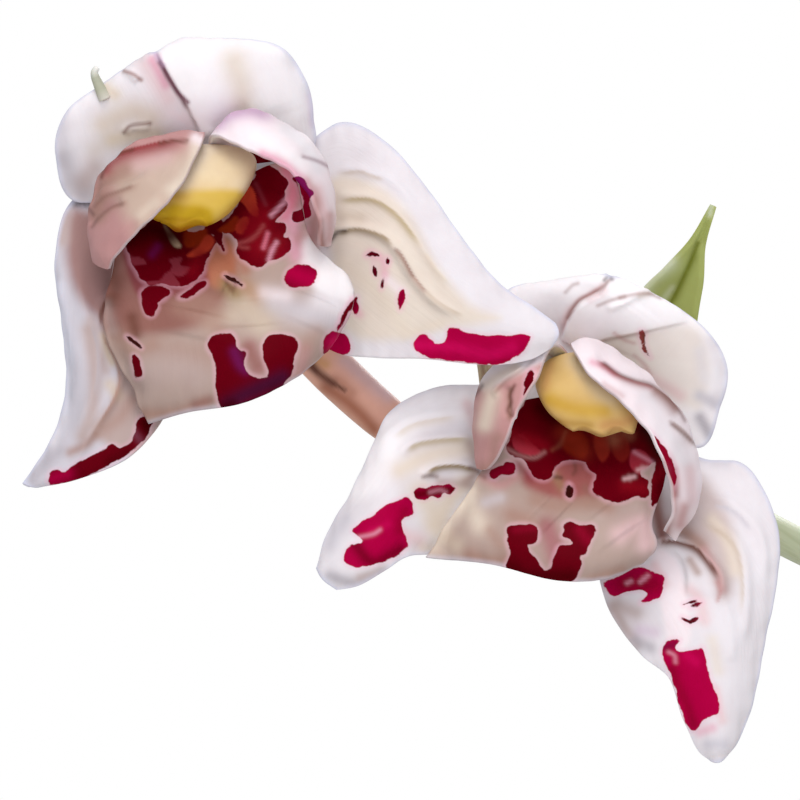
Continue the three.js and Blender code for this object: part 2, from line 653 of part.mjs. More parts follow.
// A green bract stands behind each bloom, where its stalk leaves the flower stem.
const BRACTS = {
  upper_bract: {
    path: [
      [9.4, -4.4, -14.6],
      [8.5, -0.5, -14.2],
      [7.8, 2.5, -13.6],
      [7.2, 6, -13],
      [6.9, 9, -12.6],
    ],
    halfWidths: [1.3, 1.3, 0.9, 0.7, 0.35],
  },
  lower_bract: {
    path: [
      [21.6, -5.4, -20.2],
      [22.4, 2.5, -16.4],
      [23.8, 7.5, -13.8],
      [25.5, 11.1, -12.4],
      [26.8, 14.2, -11.8],
      [28.2, 17.5, -11.4],
    ],
    halfWidths: [1.9, 2.8, 3.3, 2.2, 0.9, 0.35],
  },
};
const BRACT_FOLD = 0.45; // how far each half of a bract is folded forward, in radians

function addStems() {
  addPiece("scape", scapeGeometry(), "stem");
  SHEATHS.forEach((sheath, n) => addPiece(`scape_sheath_${n + 1}`, sheathGeometry(sheath), "bract"));
  const ovaryGeometry = ({ path, radii }, grow) =>
    stem(path.map((point) => onSpray(...point)), radii, { sides: 12, steps: 13, ribs: 6, ribDepth: 0.05, grow });
  for (const [name, ovary] of Object.entries(OVARIES)) {
    addPiece(name, cutBy(ovaryGeometry(ovary, 0), scapeGeometry(GAP)), "stem");
  }
  const cutters = [scapeGeometry(GAP), ...Object.values(OVARIES).map((ovary) => ovaryGeometry(ovary, GAP))];
  const facing = vec(0, -1, 0);
  for (const [name, { path, halfWidths }] of Object.entries(BRACTS)) {
    const route = path.map((point) => onSpray(...point));
    const blank = foldedBlade(route, facing, halfWidths, BRACT_FOLD, { across: 4, steps: 9, thickness: 0.7 });
    addPiece(name, cutBy(blank, ...cutters), "bract");
  }
}

function addPot() {
  addPiece("pot", potGeometry(), "clay");
  const cutters = BULBS.map((bulb) => bulbGeometry(bulb, GAP));
  addPiece("potting_mix", cutBy(mixGeometry(), ...cutters, scapeGeometry(GAP)), "mix");
}

addPot();
addLeaves();
addStems();
addBloom("upper", UPPER_BLOOM, UPPER_FORWARD);
addBloom("lower", LOWER_BLOOM, 0);
addPoint();

export default plant;
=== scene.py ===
# %% [markdown]
# # A potted lotus-petalled cymbidium
# Two open flowers stand at the end of one arching stem. Their white, fleshy petals carry wine-red markings,
# and they are what a close look shows, so most of this lesson is about them. Below them are leaves,
# pseudobulbs, a plug of bark and a plain clay pot. The CAD model fixes every form and place. Each piece
# here is a finer mesh of the same form, with the relief and colour that the plain solid lacks.

# %% Load the frame
import math

import bmesh
import bpy
import numpy as np
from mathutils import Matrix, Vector


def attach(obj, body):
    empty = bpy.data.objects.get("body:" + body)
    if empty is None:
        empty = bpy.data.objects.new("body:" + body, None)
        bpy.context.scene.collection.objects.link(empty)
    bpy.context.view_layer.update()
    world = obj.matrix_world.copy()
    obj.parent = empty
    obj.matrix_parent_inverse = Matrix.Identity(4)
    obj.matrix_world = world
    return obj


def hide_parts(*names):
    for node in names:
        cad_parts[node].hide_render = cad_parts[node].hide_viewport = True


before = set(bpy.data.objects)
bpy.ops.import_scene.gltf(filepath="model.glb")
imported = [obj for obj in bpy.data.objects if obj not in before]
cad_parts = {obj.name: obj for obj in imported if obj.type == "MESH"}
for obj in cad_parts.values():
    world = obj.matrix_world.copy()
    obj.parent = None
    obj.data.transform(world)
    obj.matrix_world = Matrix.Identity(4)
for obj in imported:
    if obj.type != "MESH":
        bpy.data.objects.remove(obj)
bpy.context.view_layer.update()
MM = 0.001
print("CAD nodes:", len(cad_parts))

# %% [markdown]
# ## Camera, light and floor
# The photograph looks slightly up at the flowers from half a metre, through a long lens, against white.
# The camera repeats that. The light is a studio's: a soft lamp high in front, a large one low in front that
# lights the undersides, one behind that lights the rims, and a white surround that fills the shadows.

# %% Camera
FLOWERS = Vector((-28, -62, 348)) * MM
CAMERA_DISTANCE = 0.5
LOOK_UP = math.radians(6)
LONG_LENS = 250
camera_data = bpy.data.cameras.new("camera")
camera_data.lens = LONG_LENS
camera_data.clip_start = 0.01
camera = bpy.data.objects.new("camera", camera_data)
camera.location = FLOWERS - CAMERA_DISTANCE * Vector((0, math.cos(LOOK_UP), math.sin(LOOK_UP)))
camera.rotation_euler = (math.pi / 2 + LOOK_UP, 0, 0)
bpy.context.collection.objects.link(camera)
bpy.context.scene.camera = camera
bpy.context.scene.view_settings.view_transform = "Standard"
print("Camera at", [round(c, 3) for c in camera.location])


# %% One helper for every shader node
def add_node(tree, kind, inputs=(), output=0, **settings):
    """Adds a shader node with its settings and gives one of its outputs, or the node if output is None.
    inputs are values or sockets: by the name or place of its own socket, or in a list in their order."""
    node = tree.nodes.new("ShaderNode" + kind)
    for name, value in settings.items():
        setattr(node, name, value)
    for socket, value in inputs.items() if isinstance(inputs, dict) else enumerate(inputs):
        if isinstance(value, bpy.types.NodeSocket):
            tree.links.new(value, node.inputs[socket])
        else:
            node.inputs[socket].default_value = value
    return node if output is None else node.outputs[output]


# A colour Mix node has many hidden sockets, so these are the places of those that colours use.
FACTOR, UNDER, OVER, MIXED = 0, 6, 7, 2
MIX = {"data_type": "RGBA"}
MULTIPLY = {"data_type": "RGBA", "blend_type": "MULTIPLY"}
SMOOTH = {"interpolation_type": "SMOOTHSTEP"}


# %% Colours
def colour(hex_value):
    """An sRGB hex colour as the linear colour that shaders use."""
    shares = [int(hex_value[i : i + 2], 16) / 255 for i in (1, 3, 5)]
    return [s / 12.92 if s <= 0.04045 else ((s + 0.055) / 1.055) ** 2.4 for s in shares] + [1]


# %% Lamps and surround
# Each lamp: its place and width in metres, its watts and its tint.
LAMPS = {
    "key_lamp": ((-0.1, -0.95, 1.35), 0.8, 8.4, "#fffaf4"),
    "fill_lamp": ((0.1, -2.6, 0.9), 1.6, 25.5, "#f8f9ff"),
    "back_lamp": ((0.6, 1.3, 1.2), 0.9, 8, "#ffffff"),
}
for name, (place, width, watts, tint) in LAMPS.items():
    lamp_data = bpy.data.lights.new(name, "AREA")
    lamp_data.energy = watts
    lamp_data.size = width
    lamp_data.color = colour(tint)[:3]
    lamp = bpy.data.objects.new(name, lamp_data)
    lamp.location = place
    lamp.rotation_euler = (FLOWERS - Vector(place)).to_track_quat("-Z", "Y").to_euler()
    bpy.context.collection.objects.link(lamp)

world = bpy.data.worlds.new("studio_surround")
world.use_nodes = True
bpy.context.scene.world = world
tree = world.node_tree
tree.nodes.clear()
ray = add_node(tree, "LightPath", output="Is Camera Ray")
dim = add_node(tree, "Background", {"Color": colour("#eef1f8"), "Strength": 0.5})
white = add_node(tree, "Background", {"Color": (1, 1, 1, 1), "Strength": 1})
seen_world = add_node(tree, "MixShader", [ray, dim, white])
add_node(tree, "OutputWorld", {"Surface": seen_world}, None)
print("Lamps:", list(LAMPS))


# %% Start and finish a material
def start_material(name):
    """A new material with an empty node tree: returns both."""
    material = bpy.data.materials.new(name)
    material.use_nodes = True
    material.node_tree.nodes.clear()
    return material, material.node_tree


def finish_material(tree, finish):
    """Ends a tree with a Principled shader, which it returns, with a finish's values and sockets."""
    shader = add_node(tree, "BsdfPrincipled", finish, None)
    add_node(tree, "OutputMaterial", {"Surface": shader.outputs[0]}, None)
    return shader


# %% Floor
# Matt paper: a faint cloudy tone keeps it from looking like a printed colour.
FLOOR_HALF = 2.2
CLOUDS_PER_METRE = 3
paper, tree = start_material("matt_white_paper")
place = add_node(tree, "TexCoord", output="Object")
cloud = add_node(tree, "TexNoise", {"Vector": place, "Scale": CLOUDS_PER_METRE})
tone = add_node(tree, "Mix", {FACTOR: cloud, UNDER: colour("#f2f1ee"), OVER: colour("#eceae6")}, MIXED, **MIX)
finish_material(tree, {"Roughness": 0.8, "Base Color": tone})
bm = bmesh.new()
bmesh.ops.create_grid(bm, x_segments=8, y_segments=8, size=FLOOR_HALF)
floor_mesh = bpy.data.meshes.new("floor")
bm.to_mesh(floor_mesh)
bm.free()
floor_mesh.materials.append(paper)
floor = bpy.data.objects.new("floor", floor_mesh)
bpy.context.collection.objects.link(floor)
print("Floor is", 2 * FLOOR_HALF, "m wide")

# %% [markdown]
# ## From a net to a petal
# A petal is a thin, fleshy blade with a soft rim. One way is to sculpt it. Here each petal follows the same
# net of points as the CAD model: smooth rails run from the flower's heart to the tip, and smooth ribs cross
# them. A flat slab from the grid and solidify operators is bent onto that surface, so both of its faces
# stay closed and even. The rim is thinned where a real petal tapers.


# %% Smooth curves
def smooth_through(points, share):
    """Places on the smooth curve through some points, at shares of it from 0 to 1.
    points is one list for all shares, or a list of arrays with one row for each share."""
    points = np.asarray(points, float)
    if points.ndim == 2:
        points = np.repeat(points[:, None], len(share), axis=1)
    before = 2 * points[:1] - points[1:2]
    after = 2 * points[-1:] - points[-2:-1]
    padded = np.concatenate([before, points, after])
    at = share * (len(points) - 1)
    first = np.minimum(at.astype(int), len(points) - 2)
    rest = (at - first)[:, None]
    row = np.arange(len(share))
    a, b, c, d = (padded[first + k, row] for k in range(4))
    return b + 0.5 * rest * (c - a + rest * (2 * a - 5 * b + 4 * c - d + rest * (3 * b - a - 3 * c + d)))


def curve_and_way(points, share, step=1e-3):
    """Places on the smooth curve through some points, and the curve's direction there."""
    ahead = smooth_through(points, np.minimum(1, share + step))
    behind = smooth_through(points, np.maximum(0, share - step))
    way = (ahead - behind) / np.linalg.norm(ahead - behind, axis=1, keepdims=True)
    return smooth_through(points, share), way


def evenly(values, share):
    """The value at shares from 0 to 1 along a list of evenly spaced values."""
    return np.interp(share, np.linspace(0, 1, len(values)), values)


def soft_step(value):
    """Rises smoothly from 0 to 1 as the value does."""
    t = np.clip(value, 0, 1)
    return t * t * (3 - 2 * t)


# %% The flowers' own frame
# Blooms are drawn as they are seen: right and up of the middle between them, and how far in front.
VIEW = 500
NOD = math.radians(6)


def from_seen(places):
    """Points of the spray, in millimetres, from places [right, up, front]."""
    right, up, front = np.moveaxis(np.asarray(places, float), -1, 0)
    spread = 1 - front / VIEW
    return np.stack([right * spread, -front, up * spread], axis=-1)


def as_seen(points):
    """Right and up of the middle, as they are seen, for points of the spray."""
    spread = 1 + points[:, 1] / VIEW
    return points[:, 0] / spread, points[:, 2] / spread


def on_plant(points):
    """Points of the spray, in millimetres, as millimetres of the whole plant."""
    x, y, z = points.T
    nodded = [x, y * math.cos(NOD) - z * math.sin(NOD), y * math.sin(NOD) + z * math.cos(NOD)]
    return np.stack(nodded, axis=1) + np.array(FLOWERS) / MM


def seen_on_plant(points):
    """Right and up of the middle, as they are seen, for points of the whole plant."""
    x, y, z = (points - np.array(FLOWERS) / MM).T
    upright = [x, y * math.cos(NOD) + z * math.sin(NOD), z * math.cos(NOD) - y * math.sin(NOD)]
    return as_seen(np.stack(upright, axis=1))


def from_spray(path):
    """A path of seen places as points of the plant, in millimetres."""
    return on_plant(from_seen(path))


# %% A flat slab to bend, and a sheet to roll
SLAB = 0.01


def flat_slab(across, along):
    """A closed slab of one by one: its bmesh, its vertices' shares across and along, and side, 1 or -1."""
    bm = bmesh.new()
    bmesh.ops.create_grid(bm, x_segments=across, y_segments=along, size=0.5)
    bmesh.ops.solidify(bm, geom=bm.faces[:], thickness=SLAB)
    places = np.array([vertex.co for vertex in bm.verts])
    side = np.where(np.abs(places[:, 2]) < SLAB / 2, 1.0, -1.0)
    return bm, places[:, 0] + 0.5, places[:, 1] + 0.5, side


def flat_sheet(bm, around, along):
    """Adds a grid of one by one to a bmesh: each of its vertices' shares around and along."""
    old = len(bm.verts)
    bmesh.ops.create_grid(bm, x_segments=around, y_segments=along, size=0.5)
    places = np.array([vertex.co for vertex in bm.verts])[old:]
    return places[:, 0] + 0.5, places[:, 1] + 0.5


# %% Finish a piece
WELD = 0.004


def move_vertices(bm, points):
    """Puts a bmesh's vertices at points."""
    for vertex, point in zip(bm.verts, points):
        vertex.co = point


def stand_for(mesh, node, material):
    """Makes a mesh the piece that stands for a CAD node."""
    mesh.materials.append(material)
    piece = bpy.data.objects.new("fine_" + node, mesh)
    bpy.context.collection.objects.link(piece)
    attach(piece, "root")
    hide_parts(node)
    print(f"{piece.name}: {sum(len(face.vertices) - 2 for face in mesh.polygons)} triangles")


def add_piece(bm, points, node, material, qualities=None):
    """Moves a bmesh's vertices to points in millimetres and makes it the piece that stands for a CAD node.
    qualities are numbers or colours for each vertex that materials read by name."""
    move_vertices(bm, points * MM)
    for name, values in (qualities or {}).items():
        kind = bm.verts.layers.float_color if np.ndim(values) == 2 else bm.verts.layers.float
        layer = kind.new(name)
        for vertex, value in zip(bm.verts, values):
            vertex[layer] = value
    if any(edge.is_boundary for edge in bm.edges):
        bmesh.ops.remove_doubles(bm, verts=bm.verts[:], dist=WELD * MM)
        bmesh.ops.holes_fill(bm, edges=[edge for edge in bm.edges if edge.is_boundary], sides=0)
    if bm.calc_volume(signed=True) < 0:
        bmesh.ops.reverse_faces(bm, faces=bm.faces[:])
    for face in bm.faces:
        face.smooth = True
    mesh = bpy.data.meshes.new(node + "_looks")
    bm.to_mesh(mesh)
    bm.free()
    stand_for(mesh, node, material)


# %% [markdown]
# ## Strokes
# The flowers' creases, folds, colours and markings all follow strokes drawn in the flowers' own
# frame, in millimetres right and up of the middle. A stroke only gives distances: how far each point of a
# petal is from a line, and on which side. One could paint an image and wrap it round each petal instead.
# Worked out from distances, the relief, the soft washes and the crisp markings stay sharp at any size.


# %% Distance to a stroke
def measure(x, y, path):
    """Each place's distance from a path, its side (1 is right of the way along it) and its share along it."""
    distance = np.full(len(x), np.inf)
    side = np.ones(len(x))
    share = np.zeros(len(x))
    for k, (start, end) in enumerate(zip(path, path[1:])):
        dx, dy = end[0] - start[0], end[1] - start[1]
        t = np.clip(((x - start[0]) * dx + (y - start[1]) * dy) / (dx * dx + dy * dy), 0, 1)
        away_x, away_y = x - start[0] - t * dx, y - start[1] - t * dy
        here = np.hypot(away_x, away_y)
        nearer = here < distance
        distance[nearer] = here[nearer]
        side[nearer] = np.where(dy * away_x - dx * away_y > 0, 1, -1)[nearer]
        share[nearer] = (k + t[nearer]) / (len(path) - 1)
    return distance, side, share


def smooth_path(path, pieces=4):
    """A drawn path with its corners rounded."""
    if len(path) < 3:
        return path
    return smooth_through(path, np.linspace(0, 1, pieces * (len(path) - 1) + 1))


def smooth_loop(outline, pieces=3):
    """A drawn closed outline with its corners rounded; its last point is its first again."""
    count = len(outline)
    wrapped = [outline[-1], *outline, outline[0], outline[1]]
    share = np.linspace(1, count + 1, pieces * count + 1) / (count + 2)
    return smooth_through(wrapped, share)


def depth_inside(x, y, outline):
    """Distance inside a closed outline, and below zero outside it."""
    closed = smooth_loop(outline)
    distance = measure(x, y, closed)[0]
    crossings = np.zeros(len(x), int)
    for (ax, ay), (bx, by) in zip(closed, closed[1:]):
        spans = (ay > y) != (by > y)
        crossings += spans & (x < ax + (y - ay) * (bx - ax) / (by - ay if by != ay else 1))
    return np.where(crossings % 2 == 1, distance, -distance)


def bell(distance, reach):
    """1 on a stroke, fading to nothing at about twice its reach."""
    return np.exp(-((distance / reach) ** 2))


def ends(share, fade):
    """Fades the first and the last share of a stroke."""
    return soft_step(share / fade) * soft_step((1 - share) / fade)


# %% Relief from strokes
FOLD_ENDS = 0.15
CREASE_ENDS = 0.12


def relief(x, y, drawing):
    """How far the surface stands forward at each place, in millimetres."""
    height = np.zeros(len(x))
    for path, width, rise in drawing.get("folds", []):
        distance, _, share = measure(x, y, smooth_path(path))
        height += rise * ends(share, FOLD_ENDS) * bell(distance, width)
    for path, width, rise, fade in drawing.get("creases", []):
        distance, side, share = measure(x, y, smooth_path(path))
        forward = soft_step(distance / width) * bell(distance, fade)
        height += np.where(side > 0, rise * forward * ends(share, CREASE_ENDS), 0)
    return height


# %% Colour from strokes
PALETTE = {
    "milk": "#fcf9fb",
    "shell": "#f8ecf0",
    "pearl": "#e8e4e8",
    "mist": "#cfccd4",
    "slate": "#b4afb6",
    "cream": "#e5d8c6",
    "sand": "#cdbca8",
    "straw": "#c2b088",
    "olive": "#9c8560",
    "blush": "#e8c4c6",
    "pink": "#e6a9bc",
    "rose": "#c49492",
    "stone": "#bba6a0",
    "clay": "#a98476",
    "dusk": "#93645b",
    "umber": "#6c4033",
    "rust": "#aa674d",
    "mauve": "#cfaeca",
    "plum": "#7b4759",
    "ink": "#35130f",
    "ivory": "#ead8b4",
    "gold": "#d0a848",
    "amber": "#a9780f",
    "cerise": "#cc0a58",
    "crimson": "#ae0040",
    "ruby": "#8c0426",
    "garnet": "#640010",
    "black_wine": "#3e0003",
    "violet": "#4a1030",
    "grape": "#6c1450",
    "russet": "#a03410",
    "honey": "#dcbb78",
    "tan": "#cd9a60",
    "coral": "#f2bca8",
    "leaf": "#a1ac64",
    "pale_leaf": "#cdd6bb",
    "moss": "#69721c",
    "drab": "#b3a68c",
    "scarlet": "#840a1a",
    "vermilion": "#cc4830",
    "brick": "#9a4446",
    "madder": "#84303c",
    "carnation": "#e4849a",
    "terracotta": "#c07a5e",
    "poppy": "#dc4c5e",
    "buff": "#b49e94",
    "rosewood": "#a76d70",
    "fawn": "#b48c6c",
    "frost": "#e2e2ee",
    "snow": "#f4f0f4",
    "ochre": "#c8a41c",
    "yellow": "#dcbc56",
}
PALETTE = {name: np.array(colour(hex_value)) for name, hex_value in PALETTE.items()}
SHARP = 0.1
EDGE_ENDS = 0.2
THINNEST = 0.2
LINE_TIP = 0.3
SPOT_TIP = 0.4
FARTHEST = 3.0


def swell(share, tip):
    """A tapering stroke's width: all of it at the middle and a share of it at both tips."""
    return tip + (1 - tip) * np.sin(np.pi * share)


def paint(x, y, ground, drawing):
    """The colour at each place: areas, washes, edges and lines, laid one over the other on a ground."""
    painted = np.tile(PALETTE[ground], (len(x), 1))

    def lay(name, weight):
        painted[:] += np.clip(weight, 0, 1)[:, None] * (PALETTE[name] - painted)

    for name, outline, softness, strength in drawing.get("areas", []):
        lay(name, strength * soft_step(0.5 + depth_inside(x, y, outline) / softness))
    for name, path, reach, strength in drawing.get("washes", []):
        lay(name, strength * bell(measure(x, y, smooth_path(path))[0], reach))
    # An edge lays a band beside a fold or crease, sharp at it and fading on one side: painted shade in dark
    # colours and painted light in pale ones.
    for name, path, reach, strength in drawing.get("edges", []):
        distance, side, share = measure(x, y, smooth_path(path))
        lay(name, strength * ends(share, EDGE_ENDS) * bell(distance, np.where(side > 0, reach, SHARP)))
    for name, path, reach, strength in drawing.get("lines", []):
        distance, _, share = measure(x, y, smooth_path(path))
        # A line thinner than the mesh can hold is drawn wider and fainter.
        faint = min(1, math.sqrt(reach / THINNEST))
        lay(name, faint * strength * bell(distance, np.maximum(THINNEST, reach * swell(share, LINE_TIP))))
    return painted


def qualities_from(x, y, side, drawing):
    """What the petal materials read: tissue colour, pigment colour and the depth inside the markings."""
    marked = (side > 0) | drawing.get("through", False)
    tissue = paint(x, y, drawing["ground"], drawing)
    pigment = paint(x, y, drawing.get("pigment", "crimson"), drawing.get("inside", {}))
    depth = np.full(len(x), -FARTHEST)
    for outline in drawing.get("marks", []):
        depth = np.maximum(depth, depth_inside(x, y, outline))
    for path, radius in drawing.get("spots", []):
        distance, _, share = measure(x, y, path)
        depth = np.maximum(depth, radius * swell(share, SPOT_TIP) - distance)
    return {"tissue": tissue, "pigment": pigment, "mark": np.where(marked, depth, -FARTHEST)}


def count_strokes(drawings):
    """How many strokes each part of a flower has."""
    lists = {part: list(drawing.values()) for part, drawing in drawings.items()}
    lists = {part: values + list(drawings[part].get("inside", {}).values()) for part, values in lists.items()}
    return {part: sum(len(v) for v in values if isinstance(v, list)) for part, values in lists.items()}


# %% [markdown]
# ## The upper flower's drawing
# Names say what each stroke is. A crease has one side in front of the other: its path, width, rise and how
# far the rise fades. A fold is a low ridge, or a groove below zero. The colours go down in order, as a
# painter would: areas, then washes, then edges that fade on one side, then thin tapering lines. Besides the
# petals' own colours they hold painted light and shade. On the white tissue the greys, stones and clays, and
# many of the browns, are painted shade in hollows, beside folds and on the sides turned from the light.
# Some milk and cream washes are painted light over places where shade falls. The marks' own colours are
# painted the same way.

# %% Upper flower
UPPER_DRAWING = {}
UPPER_RIGHT_BLOT = [(-9.7, 20), (-9, 20.2), (-8.5, 19.8), (-8.2, 19.1), (-7.8, 18.6), (-8.2, 17.8),
    (-7.9, 16.8), (-8.5, 16.3), (-9.2, 16), (-9.7, 16.2), (-9.6, 16.9), (-8.9, 17.2), (-8.7, 18),
    (-9, 18.9), (-9.4, 19.5)]
LIP_EDGE_BLOT = [(-6.9, 4.9), (-6.6, 5.8), (-5.9, 6.2), (-5, 5.9), (-4.5, 5.2), (-4.5, 4.3), (-5.4, 3.9),
    (-6.7, 4)]
LIP_LEFT_BAR = [(-24.1, 4), (-23.6, 3.9), (-23.3, 2.9), (-23.3, 2.1), (-23.8, 2), (-24, 2.9)]

# %% Upper dorsal sepal
# Painted light and shade: the slate, mist and stone washes at the left lobe's lower edge and the sand band
# above the left petal are painted shade. The blush and pink washes and the plum edge and line beside the
# crease are painted shade from the right lobe, which stands forward. The dusk and umber lines are painted
# shade in the two small folds. The cream washes on the sand band and the milk wash at the petals' corner are
# painted light over the shade that the petals cast.
UPPER_DRAWING["dorsal_sepal"] = {
    "ground": "snow",
    "creases": [
        ([(-17.9, 23.4), (-18.4, 25), (-18.9, 25.9), (-19.3, 26.7), (-20.2, 28.1), (-20.9, 29.1),
            (-21.4, 30.1), (-22.1, 31.3)], 0.3, 0.8, 7),
    ],
    "folds": [
        ([(-24.8, 29.7), (-24, 29.3), (-23.3, 28.8)], 0.35, 0.22),
        ([(-24.8, 24.1), (-24.3, 24.7), (-23.4, 24.8), (-22.3, 24.9)], 0.35, 0.22),
        ([(-16.9, 24.6), (-16, 25.6), (-14.8, 26.1), (-13.5, 26.3)], 0.8, -0.3),
    ],
    "areas": [
        ("milk", [(-21.8, 31), (-18, 32.6), (-12.2, 32.6), (-9, 29.5), (-7.6, 24.3), (-12.4, 25.4),
            (-15.8, 25.6), (-17.3, 23.8), (-18.2, 24.1), (-19.4, 27)], 0.8, 1.0),
    ],
    "washes": [
        ("cream", [(-14.9, 30.4), (-14.3, 28.4), (-14.1, 26.6)], 1.3, 0.7),
        ("pearl", [(-9.9, 30.8), (-8.5, 27.9), (-8, 24.5)], 0.9, 0.8),
        ("mauve", [(-8, 27.4), (-7.8, 24.8)], 0.4, 0.5),
        ("mist", [(-30.6, 25.2), (-30.5, 23.4)], 0.8, 0.5),
        ("slate", [(-30.4, 21.8), (-29.7, 20.2), (-28.4, 18.7)], 1.3, 0.75),
        ("stone", [(-28.4, 19.6), (-27.5, 20.9)], 1.0, 0.6),
        ("sand", [(-27.4, 22.5), (-26.1, 23.2), (-24.3, 23.5), (-21.4, 23.8)], 1.0, 0.4),
        ("cream", [(-26.6, 24.8), (-24.3, 25.9), (-22.5, 25.4)], 1.2, 0.75),
        ("cream", [(-25.9, 23.4), (-24.1, 23.8), (-22, 23.9)], 0.7, 1.0),
        ("cream", [(-26.6, 28.1), (-25.7, 27.5)], 0.7, 0.9),
        ("milk", [(-29.5, 26.8), (-28.4, 27.4)], 0.9, 0.8),
        ("blush", [(-22.9, 30.1), (-22, 28.6), (-20.9, 27.2)], 0.9, 0.5),
        ("pink", [(-22.3, 30.6), (-21.8, 29.7), (-21.1, 28.4)], 0.5, 0.8),
        ("shell", [(-20.5, 25.9), (-18.9, 24.8)], 0.5, 0.6),
        ("milk", [(-17.7, 24.7), (-17.1, 24.1)], 0.7, 1.0),
    ],
    "edges": [
        ("plum", [(-22.3, 31.3), (-21.4, 30.1), (-20.9, 29.1), (-20.2, 28.1), (-19.4, 26.8),
            (-18.9, 25.9)], 0.25, 0.75),
    ],
    "lines": [
        ("plum", [(-21.6, 30.4), (-20.7, 28.9), (-20.1, 27.8), (-19.5, 27.2), (-19.1, 26.8)], 0.2, 0.9),
        ("mauve", [(-22.2, 31.4), (-21.8, 30.9), (-21.3, 30.1)], 0.3, 0.8),
        ("dusk", [(-19.4, 26.8), (-18.9, 25.8), (-18.5, 25), (-18.3, 24.2)], 0.07, 0.35),
        ("dusk", [(-24.8, 29.6), (-24, 29.3), (-23.3, 28.8)], 0.16, 0.85),
        ("umber", [(-24.8, 24.1), (-24.4, 24.6), (-23.8, 24.8), (-22.5, 24.9)], 0.12, 0.9),
    ],
    "marks": [
        [(-13.7, 22.7), (-12.4, 22.3), (-10.8, 21.6), (-9.4, 20.5), (-9, 19.4), (-10.3, 19.6),
            (-12.4, 20.3)],
    ],
    "pigment": "garnet",
}

# %% Upper right petal
# The blush, dusk and rose washes at its lower end, where it curls in by the lip, are painted shade.
UPPER_DRAWING["right_petal"] = {
    "ground": "shell",
    "rim": (0, 0, 0),
    "folds": [
        ([(-16, 24.8), (-13.9, 25), (-11.9, 24.3), (-10.1, 22.9), (-9, 21.4)], 0.7, 0.28),
    ],
    "washes": [
        ("pearl", [(-10.3, 24.5), (-8.5, 22.9), (-7.4, 20.9)], 0.7, 0.8),
        ("milk", [(-13, 23.8), (-10.8, 22.5), (-9.4, 21.4)], 0.8, 0.8),
        ("pink", [(-12.4, 22.1), (-10.4, 21.2), (-9.2, 20)], 0.5, 0.9),
        ("milk", [(-17.3, 23.9), (-16.6, 23.4)], 0.5, 0.9),
        ("blush", [(-7.4, 18.9), (-6.8, 16.6)], 0.6, 0.7),
        ("dusk", [(-7.3, 16), (-7, 13.9)], 0.55, 0.9),
        ("rose", [(-6.3, 16.6), (-6.3, 14.4)], 0.5, 0.7),
        ("rose", [(-8.5, 19.6), (-7.6, 18), (-7.6, 16.6), (-8, 14.8)], 0.6, 0.9),
    ],
    "edges": [
        ("mauve", [(-17.1, 23.9), (-16.6, 24.8), (-15.8, 25.6), (-14.8, 26), (-13.5, 26.2), (-12.2, 25.9),
            (-10.6, 25)], 0.9, 1.0),
    ],
    "lines": [
        ("plum", [(-8.7, 21.9), (-7.4, 21.5), (-6.2, 20.9)], 0.13, 0.7),
    ],
    "marks": [
        UPPER_RIGHT_BLOT,
    ],
    "through": True,
    "pigment": "crimson",
    "inside": {
        "washes": [
            ("grape", [(-9, 19.8), (-8.3, 18.7), (-8.3, 16.9)], 1.2, 0.9),
        ],
    },
}

# %% Upper left petal
# This petal lies in shade: its rose ground and its sand, clay and rose washes are painted shade on white
# tissue. The brick edge under its top margin, and the clay edges and the umber and ink lines in its folds,
# are painted shade too.
UPPER_DRAWING["left_petal"] = {
    "ground": "rose",
    "rim": (0, 0, 0),
    "folds": [
        ([(-26.9, 20), (-26.6, 21.1), (-25.6, 21.9), (-24.3, 22.3), (-22.5, 22.6),
            (-19.3, 22.9)], 0.4, -0.3),
        ([(-27.8, 17.1), (-27.4, 18.4), (-26.7, 19.1), (-25.9, 19.3), (-24.3, 19.7),
            (-22.3, 20.5)], 0.35, -0.3),
        ([(-27.7, 15.5), (-27, 16.6), (-25.9, 17.4), (-24.5, 17.8)], 0.35, -0.25),
        ([(-27, 18.4), (-24.3, 18.9), (-21.6, 19.8)], 0.7, 0.2),
    ],
    "areas": [
        ("sand", [(-25.9, 20.3), (-22.5, 21.6), (-17.1, 22.7), (-17.3, 20.2), (-21.1, 16.6),
            (-23.4, 14.4), (-25.4, 18)], 2.4, 0.75),
    ],
    "washes": [
        ("clay", [(-27.3, 16.7), (-27, 18.4), (-26.3, 19.8), (-24.8, 20.7)], 0.9, 0.75),
        ("blush", [(-23.4, 21.1), (-21.1, 21.8)], 0.8, 0.4),
        ("cream", [(-18.4, 23), (-18.4, 21.6), (-19.3, 20), (-20.5, 18.9)], 0.7, 0.75),
        ("cream", [(-23.4, 16.6), (-22, 17.8)], 0.5, 0.4),
        ("rose", [(-26.6, 13.3), (-25.6, 14.6), (-24.1, 15.7)], 0.7, 0.6),
        ("shell", [(-18.4, 23.6), (-17.6, 23.1)], 0.5, 0.9),
    ],
    "edges": [
        ("brick", [(-27, 19.6), (-26.7, 20.7), (-26.1, 21.7), (-24.5, 22.5), (-22.9, 22.9), (-21.1, 23.3),
            (-18.7, 23.5)], 0.8, 1.0),
        ("clay", [(-27.5, 17.5), (-26.6, 18.3), (-25.2, 18.8), (-23.2, 19.6)], 0.4, 0.6),
        ("clay", [(-27.5, 15.8), (-26.6, 16.8), (-25.4, 17.6), (-24.3, 18)], 0.4, 0.5),
    ],
    "lines": [
        ("umber", [(-26.9, 20), (-26.6, 20.9), (-26, 21.8), (-25, 22.3), (-24.1, 22.5)], 0.12, 0.9),
        ("umber", [(-21.6, 23.1), (-20.5, 23.3), (-19.2, 23.3)], 0.16, 0.8),
        ("umber", [(-27.5, 17.4), (-26.6, 18.3), (-25.6, 18.7), (-24.3, 19.2)], 0.1, 0.5),
        ("umber", [(-27.7, 15.6), (-26.9, 16.6), (-25.9, 17.4), (-25, 17.6)], 0.1, 0.6),
        ("ink", [(-28.3, 17.4), (-27.9, 17.1), (-27.6, 16.7)], 0.07, 0.7),
    ],
}
